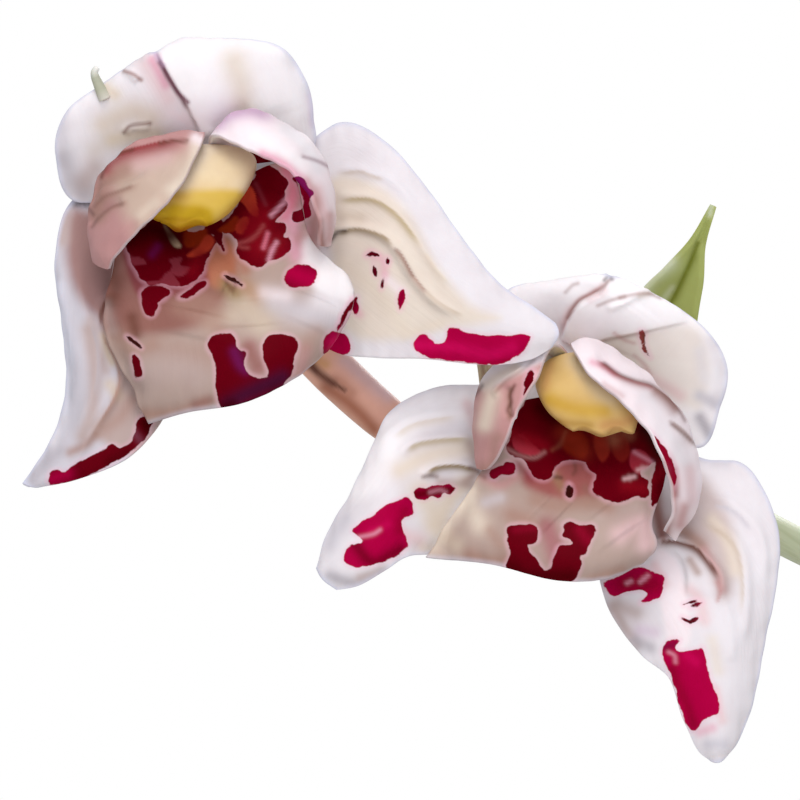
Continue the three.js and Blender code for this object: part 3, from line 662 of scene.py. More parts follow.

# %% Upper lip
# Painted shade on white tissue: the buff ground and the mist, sand, stone and clay washes darken the lip
# where it turns down from the light. The dusk area by the left blotch is partly the throat's warm colour and
# partly painted shade under the column and the left petal. The umber washes by the left margin, the umber
# edge at the right tip and the olive wash under the callus are painted shade.
UPPER_DRAWING["lip"] = {
    "ground": "buff",
    "rim": (0, 0, 0.6),
    "folds": [
        ([(-15.7, 11.2), (-14.9, 10.7), (-14.2, 10.3)], 0.2, -0.35),
        ([(-15.8, 9.7), (-14.8, 9.2)], 0.6, 0.3),
        ([(-26.6, 9.7), (-26.6, 6.8), (-25.4, 3.1), (-23.4, -0.9)], 1.3, -0.9),
        ([(-13.5, 9), (-13.3, 6.3)], 2.2, -0.35),
        ([(-18.4, 7.9), (-18.9, 5.4)], 2.2, 0.3),
        ([(-7.4, 9), (-8.5, 6.3)], 2.0, 0.3),
    ],
    "areas": [
        ("dusk", [(-27, 12.4), (-24.5, 14.4), (-16.6, 14.8), (-15.1, 13.5), (-15.1, 9.9), (-17.6, 7),
            (-21.6, 5.9), (-26.6, 6.3)], 1.6, 1.0),
        ("milk", [(-8.5, 15.1), (-6.3, 14.4), (-4, 9.9), (-4.3, 8.6), (-7.4, 9.7), (-9, 12.4)], 1.0, 0.9),
        ("madder", [(-25.2, 13.9), (-24.3, 13.5), (-22.5, 11.7), (-19.8, 11.7), (-17.5, 13.5),
            (-16.7, 13.9), (-16.7, 12.4), (-17.3, 10.4), (-20.2, 9.4), (-22.5, 8.8),
            (-23.9, 9.9)], 0.7, 0.75),
        ("terracotta", [(-17.3, 13.7), (-16, 14.8), (-15.1, 13.9), (-14.8, 12.4), (-15.3, 10.6),
            (-16.7, 10.1), (-17.3, 11.2)], 0.9, 0.9),
    ],
    "washes": [
        ("mist", [(-11.2, 8.5), (-8.5, 7.9), (-6.1, 7.2)], 1.4, 0.7),
        ("pearl", [(-7.2, 9), (-5.2, 8.3)], 1.0, 0.9),
        ("sand", [(-13.9, 8.5), (-12.4, 7)], 1.4, 0.8),
        ("sand", [(-16.9, 7.2), (-15.1, 7.6)], 0.9, 0.6),
        ("clay", [(-19.8, 8.5), (-17.6, 9), (-16.6, 7.9)], 1.0, 0.6),
        ("clay", [(-18.4, 7.7), (-16.7, 6.7), (-15.7, 5.4)], 1.0, 0.65),
        ("clay", [(-20.2, 4.3), (-17.6, 3.6)], 1.2, 0.5),
        ("carnation", [(-10.3, 20.5), (-9.6, 18.9), (-9.9, 17.6), (-10.2, 16.6)], 0.8, 0.95),
        ("pink", [(-9.7, 16), (-9.4, 14.4), (-9.4, 13)], 0.7, 0.8),
        ("rosewood", [(-13.5, 4.7), (-12.8, 2.9)], 0.8, 0.8),
        ("umber", [(-26.1, 12.2), (-25.6, 10.1), (-26.1, 8.8)], 0.7, 0.75),
        ("umber", [(-24.1, 7.4), (-23.8, 5.9)], 0.6, 0.8),
        ("clay", [(-25.4, 5.8), (-24.1, 4.3), (-22.3, 4.9)], 0.9, 0.7),
        ("stone", [(-22.5, 2.5), (-20.2, 2.9), (-18.4, 2.3)], 1.6, 0.8),
        ("stone", [(-26.5, 8.5), (-25.9, 6.3)], 0.6, 0.5),
        ("clay", [(-22.9, -1.3), (-20.2, -1.2), (-17.6, -0.4)], 0.7, 0.75),
        ("dusk", [(-18.4, -0.4), (-17.1, 0)], 0.5, 0.6),
        ("rust", [(-16, 14.4), (-15.7, 12.8), (-15.1, 11.5)], 0.8, 0.6),
        ("rust", [(-14.4, 12.8), (-13.9, 11.7)], 0.6, 0.6),
        ("olive", [(-15.5, 10.4), (-14.9, 9.7)], 0.9, 0.95),
        ("fawn", [(-13.9, 10.3), (-13, 9.5)], 0.8, 0.7),
        ("dusk", [(-13.7, 4.7), (-12.9, 3.2)], 0.7, 0.75),
        ("rose", [(-9, 2.5), (-8.5, 4.5)], 0.7, 0.75),
        ("clay", [(-8.5, 5), (-7.4, 6.1)], 0.8, 0.4),
        ("rose", [(-9.2, 14.6), (-7.9, 15.3), (-7, 16)], 0.6, 0.7),
        ("pink", [(-5.4, 6.7), (-4.3, 9)], 0.4, 0.5),
        ("shell", [(-12.2, 9.7), (-10.3, 9.4)], 0.7, 0.5),
    ],
    "edges": [
        ("umber", [(-4.3, 9.9), (-3.8, 9.2), (-4.5, 8.3), (-5, 7.2)], 0.25, 0.5),
    ],
    "lines": [
        ("umber", [(-15.7, 10.8), (-15.1, 9.9), (-14.8, 10.4)], 0.3, 0.6),
    ],
    "marks": [
        [(-24.8, 14.2), (-23.9, 15), (-22.9, 15.8), (-22.3, 16.5), (-21.1, 16.4), (-19.8, 15.7),
            (-18.7, 15.1), (-17.6, 15.3), (-16.6, 14.6), (-16.8, 13.7), (-17.5, 12.4), (-17.7, 11.5),
            (-18.4, 10.8), (-19.3, 10.3), (-20.5, 10.3), (-21.6, 10.5), (-22.5, 10.4), (-23.3, 10.9),
            (-23.8, 11.7), (-24.2, 12.4), (-24.4, 13.1)],
        [(-23.3, 9.7), (-22.8, 10.1), (-22, 10.3), (-21.1, 10.1), (-20.7, 9.7), (-21.1, 9.2),
            (-21.8, 8.7), (-21.8, 8.3), (-22.2, 7.6), (-22.7, 7.6), (-23, 8.1), (-23.2, 8.8)],
        [(-19.9, 9.2), (-19.4, 9.7), (-18.5, 10.3), (-17.6, 10.7), (-17.5, 10.3), (-18.2, 9.7),
            (-19.1, 9.2)],
        [(-17.4, 15.8), (-16.1, 16.2), (-16, 15.1), (-16, 14.4), (-15.8, 13.4), (-16.3, 13.9),
            (-16.8, 14.8), (-17.5, 15)],
        [(-13.3, 22.5), (-12.4, 21.9), (-11.7, 21.1), (-11, 20.6), (-10.1, 19.7), (-10.3, 19),
            (-10.4, 18.2), (-10.1, 17.7), (-10.3, 17.2), (-10.7, 16.6), (-11.2, 16), (-10.7, 16),
            (-10.3, 15.7), (-10.4, 14.7), (-10.1, 14.7), (-9.8, 14.4), (-9.8, 13.6), (-10.5, 13),
            (-11.5, 12.5), (-11.9, 12.4), (-12.8, 11.9), (-13.5, 12.2), (-14.3, 12.7), (-14.7, 13.4),
            (-14.6, 14.1), (-15.1, 14.8), (-15.9, 15.1), (-16.1, 15.7), (-15.1, 16.7), (-14.4, 18.2),
            (-13.8, 19.4), (-13, 20.2)],
        [(-10.4, 10.8), (-10.1, 11.7), (-9.4, 12.1), (-8.7, 12.2), (-7.9, 12), (-7.5, 11.5), (-7.6, 10.8),
            (-8.2, 10.3), (-9, 10.2), (-9.9, 10.2)],
        [(-17.3, 5), (-16.9, 5.7), (-16, 6), (-15.1, 6), (-14.7, 5.2), (-14.6, 4.5), (-13.9, 4.3),
            (-14.1, 3.1), (-13.3, 2.2), (-11.9, 2.1), (-12.3, 4), (-12.3, 5.1), (-11.7, 5.8),
            (-10.8, 5.9), (-9.9, 5.8), (-9.2, 5.2), (-9.3, 4.3), (-9.6, 3.4), (-9.7, 2.5), (-10.6, 1.3),
            (-12.4, 0.3), (-14.4, -0.4), (-15.8, -0.9), (-16.4, 0), (-16.6, 1.8), (-16.7, 3.6),
            (-17.2, 4.5)],
        LIP_EDGE_BLOT,
        LIP_LEFT_BAR,
        UPPER_RIGHT_BLOT,
    ],
    "spots": [
        ([(-4, 9.2), (-4.6, 8.3), (-5.1, 7.4), (-5.6, 6.3)], 0.22),
        ([(-15.8, 11.2), (-15.1, 10.9), (-14.2, 10.3)], 0.17),
        ([(-24.6, 5.7), (-24, 5.3), (-23.3, 4.7)], 0.15),
    ],
    "pigment": "garnet",
    "inside": {
        "areas": [
            ("ivory", [(-21.3, 15.8), (-20.7, 15.2), (-19.7, 13.9), (-20.3, 13.8),
                (-20.9, 14.7)], 0.3, 1.0),
            ("russet", [(-19.4, 15.2), (-17.6, 15.5), (-17.4, 14.8), (-18.1, 13.9),
                (-19.3, 13.8)], 0.4, 0.8),
            ("vermilion", [(-18.1, 13.9), (-17.4, 14.9), (-16.7, 14.4), (-17.1, 13.5), (-18.4, 12.9),
                (-19.2, 13)], 0.25, 0.85),
            ("madder", [(-24.4, 12.9), (-23.8, 12.9), (-23.1, 12.7), (-22.8, 12.2), (-23.4, 12.2),
                (-24.1, 12.2)], 0.12, 0.95),
            ("madder", [(-20.8, 12.6), (-20.2, 12.8), (-19.6, 12.8), (-19.8, 12.2), (-19.4, 12),
                (-18.9, 12), (-19.2, 11.4), (-19.8, 11.1), (-20.2, 11.2), (-20.7, 11.6),
                (-20.5, 12.1)], 0.12, 0.95),
            ("madder", [(-21.1, 11.4), (-20.6, 11.5), (-20.2, 11), (-19.8, 10.3), (-20.5, 10),
                (-21.6, 10.3), (-23.2, 10.3), (-22.5, 10.7), (-21.6, 10.8)], 0.12, 0.95),
            ("vermilion", [(-13.7, 19.3), (-13.1, 18.7), (-12.9, 17.7), (-12.7, 16.6), (-13.3, 16.6),
                (-14, 17.6), (-14.4, 18)], 0.12, 0.95),
            ("russet", [(-16.4, 15.3), (-15.5, 16), (-14.8, 16.6), (-14.4, 16), (-14.8, 15.3),
                (-15.7, 15)], 0.2, 0.9),
            ("vermilion", [(-14.6, 16), (-14, 16.5), (-13.6, 16.3), (-13.7, 15.7), (-14.3, 14.9),
                (-14.8, 15.3)], 0.15, 0.85),
        ],
        "washes": [
            ("black_wine", [(-24.5, 14.6), (-22.5, 15.5), (-20.7, 14.8)], 1.2, 0.95),
            ("grape", [(-22.3, 13.1), (-21.8, 13.8)], 0.4, 0.7),
            ("scarlet", [(-13.5, 15.5), (-12.4, 16.7), (-12.6, 14.2), (-11.2, 13.9)], 1.4, 0.9),
            ("scarlet", [(-18.7, 11.7), (-18, 13)], 0.6, 0.6),
            ("crimson", [(-9.7, 11.5), (-7.9, 10.8)], 1.2, 0.9),
            ("cerise", [(-5.6, 5), (-5.2, 4.5)], 1.2, 1.0),
            ("violet", [(-15.5, -0.4), (-13.5, 0.7), (-10.6, 2)], 0.8, 0.95),
            ("violet", [(-14.6, 4.3), (-14.2, 3.1)], 0.6, 0.45),
            ("ruby", [(-9, 19.8), (-8.5, 18.7), (-8.5, 16.7)], 1.2, 0.6),
            ("black_wine", [(-16, -0.7), (-15.1, -0.4)], 0.6, 0.8),
            ("ink", [(-15.8, 11.2), (-14.4, 10.3)], 0.7, 1.0),
            ("ink", [(-24.5, 5.6), (-23.4, 4.8)], 0.6, 1.0),
            ("grape", [(-14.9, 4.3), (-14.4, 3.2), (-13.9, 2.7)], 0.5, 0.8),
        ],
        "lines": [
            ("brick", [(-12.3, 15.7), (-13, 14.8), (-13.8, 14.3), (-14.8, 14.1)], 0.22, 0.9),
            ("carnation", [(-11.9, 15), (-12.1, 14.3), (-12.3, 13.7)], 0.14, 0.9),
            ("pink", [(-11.1, 14.2), (-11.5, 13.5), (-11.8, 12.6)], 0.24, 0.75),
            ("pink", [(-10.1, 18.2), (-10.7, 17.5), (-11.6, 16.6)], 0.15, 0.95),
            ("madder", [(-13, 19.5), (-12.6, 18.7), (-12.1, 17.6)], 0.15, 0.7),
            ("brick", [(-15.3, 14.4), (-14.4, 13.8), (-13.7, 13.7)], 0.2, 0.7),
        ],
    },
}

# %% Upper left lateral sepal
# Painted shade: the mist ground and the stone and dusk areas darken this side of the flower, turned from the
# light, and the umber, clay and slate edges and the stone, sand, clay and dusk washes lie as painted shade
# beside its folds.
UPPER_DRAWING["left_lateral_sepal"] = {
    "ground": "mist",
    "rim": (1, 0, 1),
    "folds": [
        ([(-24.8, 9.6), (-26.1, 9.3), (-26.7, 8.7), (-27, 7.6), (-26.9, 6.5), (-26.6, 5.4), (-26.1, 4.5),
            (-25.6, 3.4), (-25.3, 2.2), (-25.6, 0.9), (-26.1, -0.4), (-27, -1.8), (-27.9, -3.3),
            (-28.8, -5), (-29.7, -6.3)], 0.45, 0.4),
        ([(-29, 13), (-28.8, 10.5), (-28.6, 9), (-28.1, 7.4), (-27.3, 5.4), (-27.2, 3.6), (-27.3, 1.8),
            (-27.7, 0), (-28.3, -1.8), (-29.3, -4)], 0.5, 0.25),
        ([(-30.2, 13.5), (-30.1, 9.9), (-29.3, 6.3), (-28.6, 3.6), (-28.6, 1.3),
            (-29.2, -0.9)], 0.5, 0.15),
    ],
    "areas": [
        ("stone", [(-25.4, 9.7), (-26.6, 8.5), (-26.8, 6.7), (-25.6, 3.4), (-25.3, 2.2), (-26.1, -0.4),
            (-27.7, -3.1), (-21.6, -4.5), (-21.6, 9)], 1.2, 0.95),
        ("dusk", [(-29.3, 17.3), (-30.1, 13.5), (-29.3, 9.9), (-27.2, 7.4), (-24.3, 7.6),
            (-24.3, 14.4)], 1.6, 0.85),
    ],
    "washes": [
        ("stone", [(-30.1, 16.9), (-30.4, 14.4)], 0.7, 0.7),
        ("frost", [(-30.8, 10.3), (-30.3, 7.2), (-29.8, 3.6), (-30.1, 0), (-30.8, -2.7)], 0.5, 1.0),
        ("stone", [(-28.1, 6.3), (-27.5, 2.7), (-27.7, -0.9), (-28.6, -3.2)], 0.7, 0.8),
        ("stone", [(-27.9, 7.2), (-27.2, 5), (-26.5, 2.7)], 0.5, 0.6),
        ("sand", [(-26.7, 5.8), (-26.3, 4.3), (-25.9, 3.4)], 0.4, 0.9),
        ("dusk", [(-26.5, 6.7), (-25.6, 6.3), (-24.8, 5)], 0.7, 0.6),
        ("clay", [(-25.6, 4.9), (-24.8, 4.3)], 0.6, 0.7),
        ("sand", [(-26.1, 1.4), (-25.4, 0.4)], 0.6, 0.7),
        ("clay", [(-24.1, 0), (-25.2, -1.6), (-26.6, -2.5)], 0.7, 0.5),
        ("clay", [(-27.4, -3.2), (-28.4, -4.1), (-29.7, -4.7)], 0.5, 0.7),
        ("slate", [(-30.6, -4.7), (-32, -5.9), (-32.9, -7)], 0.7, 0.6),
        ("pearl", [(-30.6, -1.8), (-31.3, -3.6)], 0.6, 0.7),
    ],
    "edges": [
        ("umber", [(-26.9, 6.5), (-27, 7.6), (-26.7, 8.6), (-26.1, 9.2), (-24.8, 9.6)], 0.35, 0.85),
        ("clay", [(-28.4, -4.5), (-27, -2), (-26.1, -0.5), (-25.5, 0.8), (-25.3, 2.2), (-25.6, 3.4),
            (-26.1, 4.5), (-26.6, 5.4), (-26.9, 6.7)], 0.35, 0.8),
        ("slate", [(-27.7, 0), (-27.3, 1.8), (-27.2, 3.6), (-27.4, 5.4), (-28.1, 7.4)], 0.3, 0.5),
    ],
    "lines": [
        ("umber", [(-24.5, 5.4), (-23.9, 5.2), (-23.4, 4.7)], 0.13, 0.7),
        ("ink", [(-29.2, 17.6), (-28.6, 17.7), (-28, 17.5)], 0.07, 0.8),
    ],
    "marks": [
        [(-31.5, -7.6), (-28.8, -7.2), (-27, -6.3), (-25.2, -5.3), (-23.4, -4), (-22.5, -2.7),
            (-22.2, -1.6), (-22.9, -1.5), (-23.6, -1.8), (-24.1, -3.6), (-25.2, -4.3), (-25.9, -4),
            (-27.4, -4.9), (-28.8, -5.5), (-30.1, -6.4), (-30.8, -6.3), (-31.5, -6.6)],
        LIP_LEFT_BAR,
    ],
    "spots": [
        ([(-25.9, 9.5), (-25.4, 9.7), (-24.8, 9.5)], 0.24),
    ],
    "pigment": "garnet",
    "inside": {
        "washes": [
            ("crimson", [(-31.3, -7.2), (-30.1, -6.7)], 0.8, 0.7),
            ("black_wine", [(-26.1, -5.6), (-24.5, -4.7)], 0.6, 0.5),
            ("black_wine", [(-22.9, -2.2), (-22.3, -3.2)], 0.7, 0.8),
            ("plum", [(-24.1, -2.7), (-23.4, -3.6)], 0.4, 0.5),
            ("black_wine", [(-23.9, 3.8), (-23.6, 2.2)], 0.6, 0.9),
        ],
    },
}

# %% Upper right lateral sepal
# Painted light and shade along its ridges: the straw, olive, clay and sand edges and the umber line are
# painted shade on one side of them, and the cream edge is painted light. The ink line is painted shade at the
# root of the lowest ridge.
UPPER_DRAWING["right_lateral_sepal"] = {
    "ground": "pearl",
    "rim": (0, 1, 1),
    "folds": [
        ([(-6.2, 14.5), (-5.8, 15.1), (-5.1, 15.3), (-4, 15.5), (-2.7, 15.3), (-1.3, 14.7), (-0.4, 13.8),
            (0.3, 12.6), (1.1, 11.2), (2, 10.1), (3.1, 9), (4.5, 8.1), (5.8, 7.5)], 0.45, 0.45),
        ([(-5.8, 18.2), (-4.5, 18.3), (-2.7, 18.2), (-1.3, 17.6), (0, 16.5), (1.1, 15.1), (1.8, 13.9),
            (2.7, 12.6), (4, 11), (5, 10.1)], 0.45, 0.32),
        ([(-5.8, 20.6), (-3.6, 20.7), (-2.5, 20.2), (-1.3, 20), (0.2, 18.7), (1.6, 16.9)], 0.45, 0.2),
    ],
    "areas": [
        ("cream", [(-6.3, 19.8), (-2.5, 19.6), (0.9, 16.7), (3.2, 12.4), (6.3, 8.6), (9, 7.4), (6.3, 6.7),
            (3.6, 6.3), (0, 5.4), (-5, 6.3), (-6.3, 13.5)], 1.4, 0.8),
    ],
    "washes": [
        ("pearl", [(-5.2, 9.7), (-4.3, 9)], 0.8, 0.8),
        ("sand", [(-5.2, 16.6), (-3.6, 16.4)], 0.6, 0.5),
        ("cream", [(-5, 12.4), (-2.2, 9.7), (0.2, 6.8)], 0.8, 0.5),
        ("shell", [(-1.1, 10.8), (0.2, 9.7)], 0.5, 0.7),
        ("pink", [(-2.7, 13.1), (-1.6, 12.6), (-1.4, 11.5)], 0.5, 0.55),
        ("pink", [(-4.3, 8.6), (-3.6, 7.7)], 0.4, 0.5),
        ("cream", [(0.4, 5.8), (3.6, 6.8)], 0.5, 0.5),
        ("rose", [(-8.8, 20.2), (-7.6, 18), (-7.9, 14.8), (-8.6, 13.9)], 1.2, 0.95),
        ("carnation", [(-9.3, 19.6), (-9.1, 18.2), (-9.3, 16.9), (-10.1, 16.6)], 0.6, 0.95),
        ("pink", [(-9.4, 16.2), (-8.5, 15.3)], 0.4, 0.6),
    ],
    "edges": [
        ("straw", [(-5.8, 18), (-4.5, 18.1), (-2.7, 18.1), (-1.3, 17.5), (0, 16.4), (1.1, 15),
            (2.2, 13.5)], 0.4, 0.85),
        ("olive", [(-5.9, 14.8), (-5.1, 15.2), (-4, 15.4), (-2.7, 15.2), (-1.3, 14.6),
            (-0.4, 13.6)], 0.38, 0.8),
        ("clay", [(-0.7, 14), (0.2, 13), (1, 11.5), (1.9, 10.3), (2.7, 9.4)], 0.3, 0.8),
        ("sand", [(2.2, 10.1), (3.1, 9.1), (4.5, 8.2), (5.9, 7.5)], 0.3, 0.7),
        ("sand", [(-5.8, 20.4), (-3.6, 20.6), (-2.5, 20.2), (-1.3, 19.8)], 0.3, 0.6),
        ("cream", [(2.2, 13.5), (3.2, 11.9), (4.5, 10.4)], 0.4, 0.7),
    ],
    "lines": [
        ("ink", [(-6.5, 13.9), (-5.9, 14.8), (-5.6, 15.1), (-4.9, 15.2)], 0.12, 0.95),
        ("umber", [(-0.4, 13.5), (0.4, 12.4), (1.1, 11.2)], 0.1, 0.6),
    ],
    "marks": [
        [(1.2, 5), (1.8, 5.8), (2.4, 5.8), (2.9, 5.4), (3.2, 5.1), (4, 5.2), (4.2, 5.8), (4.4, 6.4),
            (5, 6.5), (5.8, 6.2), (7.2, 5.9), (9, 5.8), (10.3, 5.8), (11.2, 5.9), (11.8, 5.7),
            (11.5, 5.1), (11.2, 4.4), (10.3, 3.8), (9.4, 3.4), (8.1, 3.2), (5.8, 3.4), (4, 3.6),
            (2.7, 3.8), (1.8, 4.2)],
        LIP_EDGE_BLOT,
        UPPER_RIGHT_BLOT,
    ],
    "spots": [
        ([(-3.1, 13), (-2.5, 13.2), (-1.9, 13)], 0.17),
        ([(-1.1, 12.8), (-1.1, 12.2)], 0.24),
        ([(-2.4, 12.2), (-2.2, 11.2)], 0.16),
        ([(-1.4, 11.2), (-1.7, 10)], 0.16),
        ([(0.2, 9.8), (0.1, 9.2), (0, 8.2)], 0.34),
        ([(-3.9, 9.2), (-4.6, 8.3), (-5.1, 7.4), (-5.6, 6.5)], 0.2),
        ([(-4, 8.8), (-4, 7.8)], 0.24),
    ],
    "pigment": "crimson",
    "inside": {
        "washes": [
            ("ruby", [(-9, 20.2), (-8.5, 16.4)], 1.4, 0.9),
            ("cerise", [(1.6, 5), (5, 4.7), (8.1, 4.1), (10.1, 4.7)], 0.6, 0.8),
            ("ruby", [(7.2, 3.2), (9.9, 3.6)], 0.25, 0.5),
            ("black_wine", [(-3.1, 13.1), (-1.8, 13), (-1.1, 12.4)], 0.8, 0.9),
            ("black_wine", [(-2.4, 11.9), (-1.5, 10.4)], 0.8, 0.9),
            ("garnet", [(-4, 9.2), (-5.4, 6.7)], 0.8, 0.9),
            ("garnet", [(0.3, 9.7), (-0.2, 8.3)], 0.3, 0.6),
        ],
    },
}
print("Upper flower:", count_strokes(UPPER_DRAWING))

# %% [markdown]
# ## The lower flower's drawing
# The same kinds of stroke, for a flower that is turned a little to the right.

# %% Lower flower
LOWER_DRAWING = {}
LOWER_RIGHT_BLOT = [(21.6, -2.2), (22.9, -3.2), (24.1, -4.7), (24.8, -6.3), (24.8, -7.6), (24.1, -8.5),
    (23.1, -9.3), (22.6, -9.4), (22.7, -7.2), (23, -5.9), (22.5, -4.1)]

# %% Lower dorsal sepal
# Painted shade: the rose edge, the blush washes and the dusk lines beside the main crease fall from its
# forward side. The cream area below the folded band is painted shade in the hollow behind it, and the clay
# edge runs as painted shade under the band's crease. The mist and slate washes at the lower right edge are
# painted shade.
LOWER_DRAWING["dorsal_sepal"] = {
    "ground": "milk",
    "creases": [
        ([(14.5, 5.6), (14.7, 6.5), (15.1, 7.5), (15.6, 8.4), (16.2, 9.1), (17.1, 9.6), (18, 10.1),
            (18.8, 11.1)], 0.3, 0.7, 4),
        ([(26.3, 7), (22.5, 6.4), (20.7, 6.1), (18.9, 5.8), (17.1, 5.2), (15.5, 4.5)], 0.3, 0.35, 3.5),
    ],
    "folds": [
        ([(18.5, 8.7), (19.8, 9.1), (21.1, 9.5), (22.7, 9.7)], 0.35, 0.3),
    ],
    "areas": [
        ("cream", [(16.2, 4.7), (21.6, 6.1), (26.1, 6.7), (27.7, 4.5), (27.7, 0.9), (26.6, -0.9),
            (23.4, 0.7), (19.8, 3.2)], 1.4, 0.5),
    ],
    "washes": [
        ("pearl", [(28.1, 5.4), (29, 2.7), (28.6, 0)], 0.8, 0.9),
        ("mist", [(27, 0.4), (28.4, -0.4)], 0.6, 0.8),
        ("slate", [(27, -1.6), (27.9, -3.2)], 0.6, 0.9),
        ("blush", [(21.6, 2.5), (23.6, 1.4), (25.2, 0.4)], 0.6, 0.6),
        ("pearl", [(27, 4.3), (27.4, 1.8)], 0.6, 0.6),
        ("blush", [(17.1, 9), (18.4, 9.9)], 0.4, 0.5),
        ("blush", [(14.6, 7), (15.3, 8.1)], 0.4, 0.4),
        ("sand", [(21.6, 9.4), (22.5, 9.6)], 0.3, 0.5),
    ],
    "edges": [
        ("rose", [(18.9, 11), (18, 10.1), (17.1, 9.5), (16.2, 9), (15.6, 8.3), (15.1, 7.4), (14.7, 6.3),
            (14.5, 5.4)], 0.3, 0.7),
        ("clay", [(14.4, 4.9), (17.1, 5.1), (18.9, 5.6), (20.7, 5.9), (23.4, 6.4)], 0.3, 0.45),
    ],
    "lines": [
        ("dusk", [(15.1, 7.4), (15.6, 8.3), (16.2, 9), (17.1, 9.5), (18.2, 10.1), (19, 11)], 0.1, 0.85),
        ("dusk", [(17.8, 8.5), (19.1, 9), (20.2, 9.3)], 0.09, 0.7),
        ("dusk", [(19.8, 9.2), (21.1, 9.5), (22.3, 9.6), (23.4, 9.2)], 0.09, 0.7),
        ("dusk", [(14.9, 9.7), (15.5, 10.3), (16, 10.5)], 0.07, 0.7),
        ("rose", [(19.3, 6), (20.2, 5.4), (21.1, 5.1)], 0.12, 0.6),
        ("rose", [(21.1, 4), (22, 3.2), (22.5, 2.3)], 0.12, 0.6),
        ("ink", [(18.4, 10.8), (18.8, 11.2), (19.1, 10.9)], 0.1, 0.8),
    ],
    "marks": [
        [(21.5, 6.2), (22.1, 6.1), (22.1, 5), (22.6, 3.8), (22.1, 4.1), (21.7, 5)],
    ],
    "pigment": "brick",
    "inside": {
        "washes": [
            ("umber", [(22, 5.8), (22.1, 4.9), (22.5, 3.9)], 0.25, 0.9),
        ],
    },
}

# %% Lower right petal
# Painted shade: the brick and dusk edges and the umber lines lie in its rolled upper margin, and the dusk
# wash at its lower end lies in the gap by the lip.
LOWER_DRAWING["right_petal"] = {
    "ground": "shell",
    "rim": (0, 0, 0),
    "folds": [
        ([(17.1, 3.8), (18.2, 3.5), (19.3, 2.7), (21.1, 1.8), (22.9, 1.2), (24.1, 0.2),
            (25.2, -1.1)], 0.4, -0.35),
        ([(18.4, 2), (20, 0.7), (22.1, -0.4), (23.8, -2.2), (25.2, -4.5)], 0.8, 0.3),
    ],
    "washes": [
        ("pink", [(17.3, 3.4), (18.2, 3.1), (19.3, 2.4)], 0.35, 0.7),
        ("pearl", [(22.1, 0.2), (23.6, -2.2), (25.7, -5.6)], 0.9, 0.6),
        ("rose", [(23.9, -5.6), (24.5, -7.4), (24.3, -9.7)], 0.6, 1.0),
        ("brick", [(24.7, -6.3), (24.8, -8.5)], 0.35, 0.5),
        ("blush", [(26.1, -6.3), (26.3, -9)], 0.6, 0.6),
        ("rose", [(25.6, -9.7), (25.2, -11.2)], 0.6, 0.8),
        ("dusk", [(24.1, -10.1), (23.8, -12.1), (22.7, -13)], 0.7, 0.9),
        ("rose", [(18.4, 1.4), (20, 0.4)], 0.3, 0.4),
    ],
    "edges": [
        ("brick", [(17.5, 3.6), (18.4, 3.2), (19.6, 2.3), (21.1, 1.7), (22.5, 1.3),
            (23.4, 0.8)], 0.4, 0.85),
        ("dusk", [(22.5, 1.3), (23.6, 0.6), (24.5, -0.2), (25.4, -1.4)], 0.7, 0.9),
        ("clay", [(24.3, -1.8), (25.6, -2.8), (26.6, -4.1)], 0.4, 0.6),
    ],
    "lines": [
        ("umber", [(18.4, 3.3), (19.6, 2.4), (21.1, 1.8), (22.3, 1.5), (23.4, 0.9), (24.3, 0), (25, -0.7),
            (25.6, -1.8)], 0.1, 0.8),
        ("umber", [(24.4, -2.1), (25.5, -3), (26.6, -4)], 0.1, 0.85),
    ],
    "marks": [
        LOWER_RIGHT_BLOT,
    ],
    "pigment": "ruby",
    "inside": {
        "washes": [
            ("plum", [(23.8, -6.3), (23.6, -8.1)], 0.5, 0.6),
        ],
    },
}

# %% Lower left petal
# The clay edge and the umber line along its fold are painted shade.
LOWER_DRAWING["left_petal"] = {
    "ground": "rose",
    "rim": (0, 0, 0),
    "folds": [
        ([(8.7, 0), (9.3, 0.9), (10.1, 1.5), (11.7, 2.7)], 0.35, 0.3),
        ([(10.1, 1.1), (9.8, -0.4), (10.1, -1.8)], 0.35, -0.35),
    ],
    "areas": [
        ("pearl", [(7.2, 2.5), (13, 5.6), (14.4, 4.5), (11.7, 2.9), (9.4, 1.8), (7.6, 0.9)], 0.8, 0.95),
    ],
    "washes": [
        ("sand", [(7.7, 1.3), (9, 2.2), (10.4, 2.9)], 0.6, 0.7),
        ("cream", [(8.3, 0.4), (7.6, -2.2)], 0.8, 0.9),
        ("clay", [(8.8, -3.6), (8.5, -5.6), (7.6, -6.3)], 0.7, 0.6),
        ("rose", [(9.2, -4.1), (9, -5.4)], 0.5, 1.0),
        ("blush", [(12.2, 2.3), (12.1, 0.7), (11.2, -0.9)], 0.5, 0.6),
        ("rose", [(10.8, 1.4), (10.4, -0.4)], 0.4, 0.7),
    ],
    "edges": [
        ("clay", [(10.3, 1.4), (9.9, 0.4), (10, -0.9), (9.8, -2.2)], 0.35, 0.8),
    ],
    "lines": [
        ("umber", [(10.3, 1.3), (9.9, 0.5), (10, -0.2), (9.7, -0.9), (10, -1.4)], 0.12, 0.85),
        ("ink", [(6.7, 0.4), (7.1, 0.9), (7.4, 1.3)], 0.09, 0.8),
        ("umber", [(12.1, 3.6), (11.3, 2.9), (10.4, 2.3), (9.4, 1.6), (8.6, 0.7)], 0.07, 0.6),
    ],
    "marks": [
        [(11.5, 2.5), (12, 2.7), (12, 1.8), (11.7, 0.9), (11.4, 0), (11, -0.4), (11.2, 0.7), (11.2, 1.6)],
    ],
    "pigment": "garnet",
}
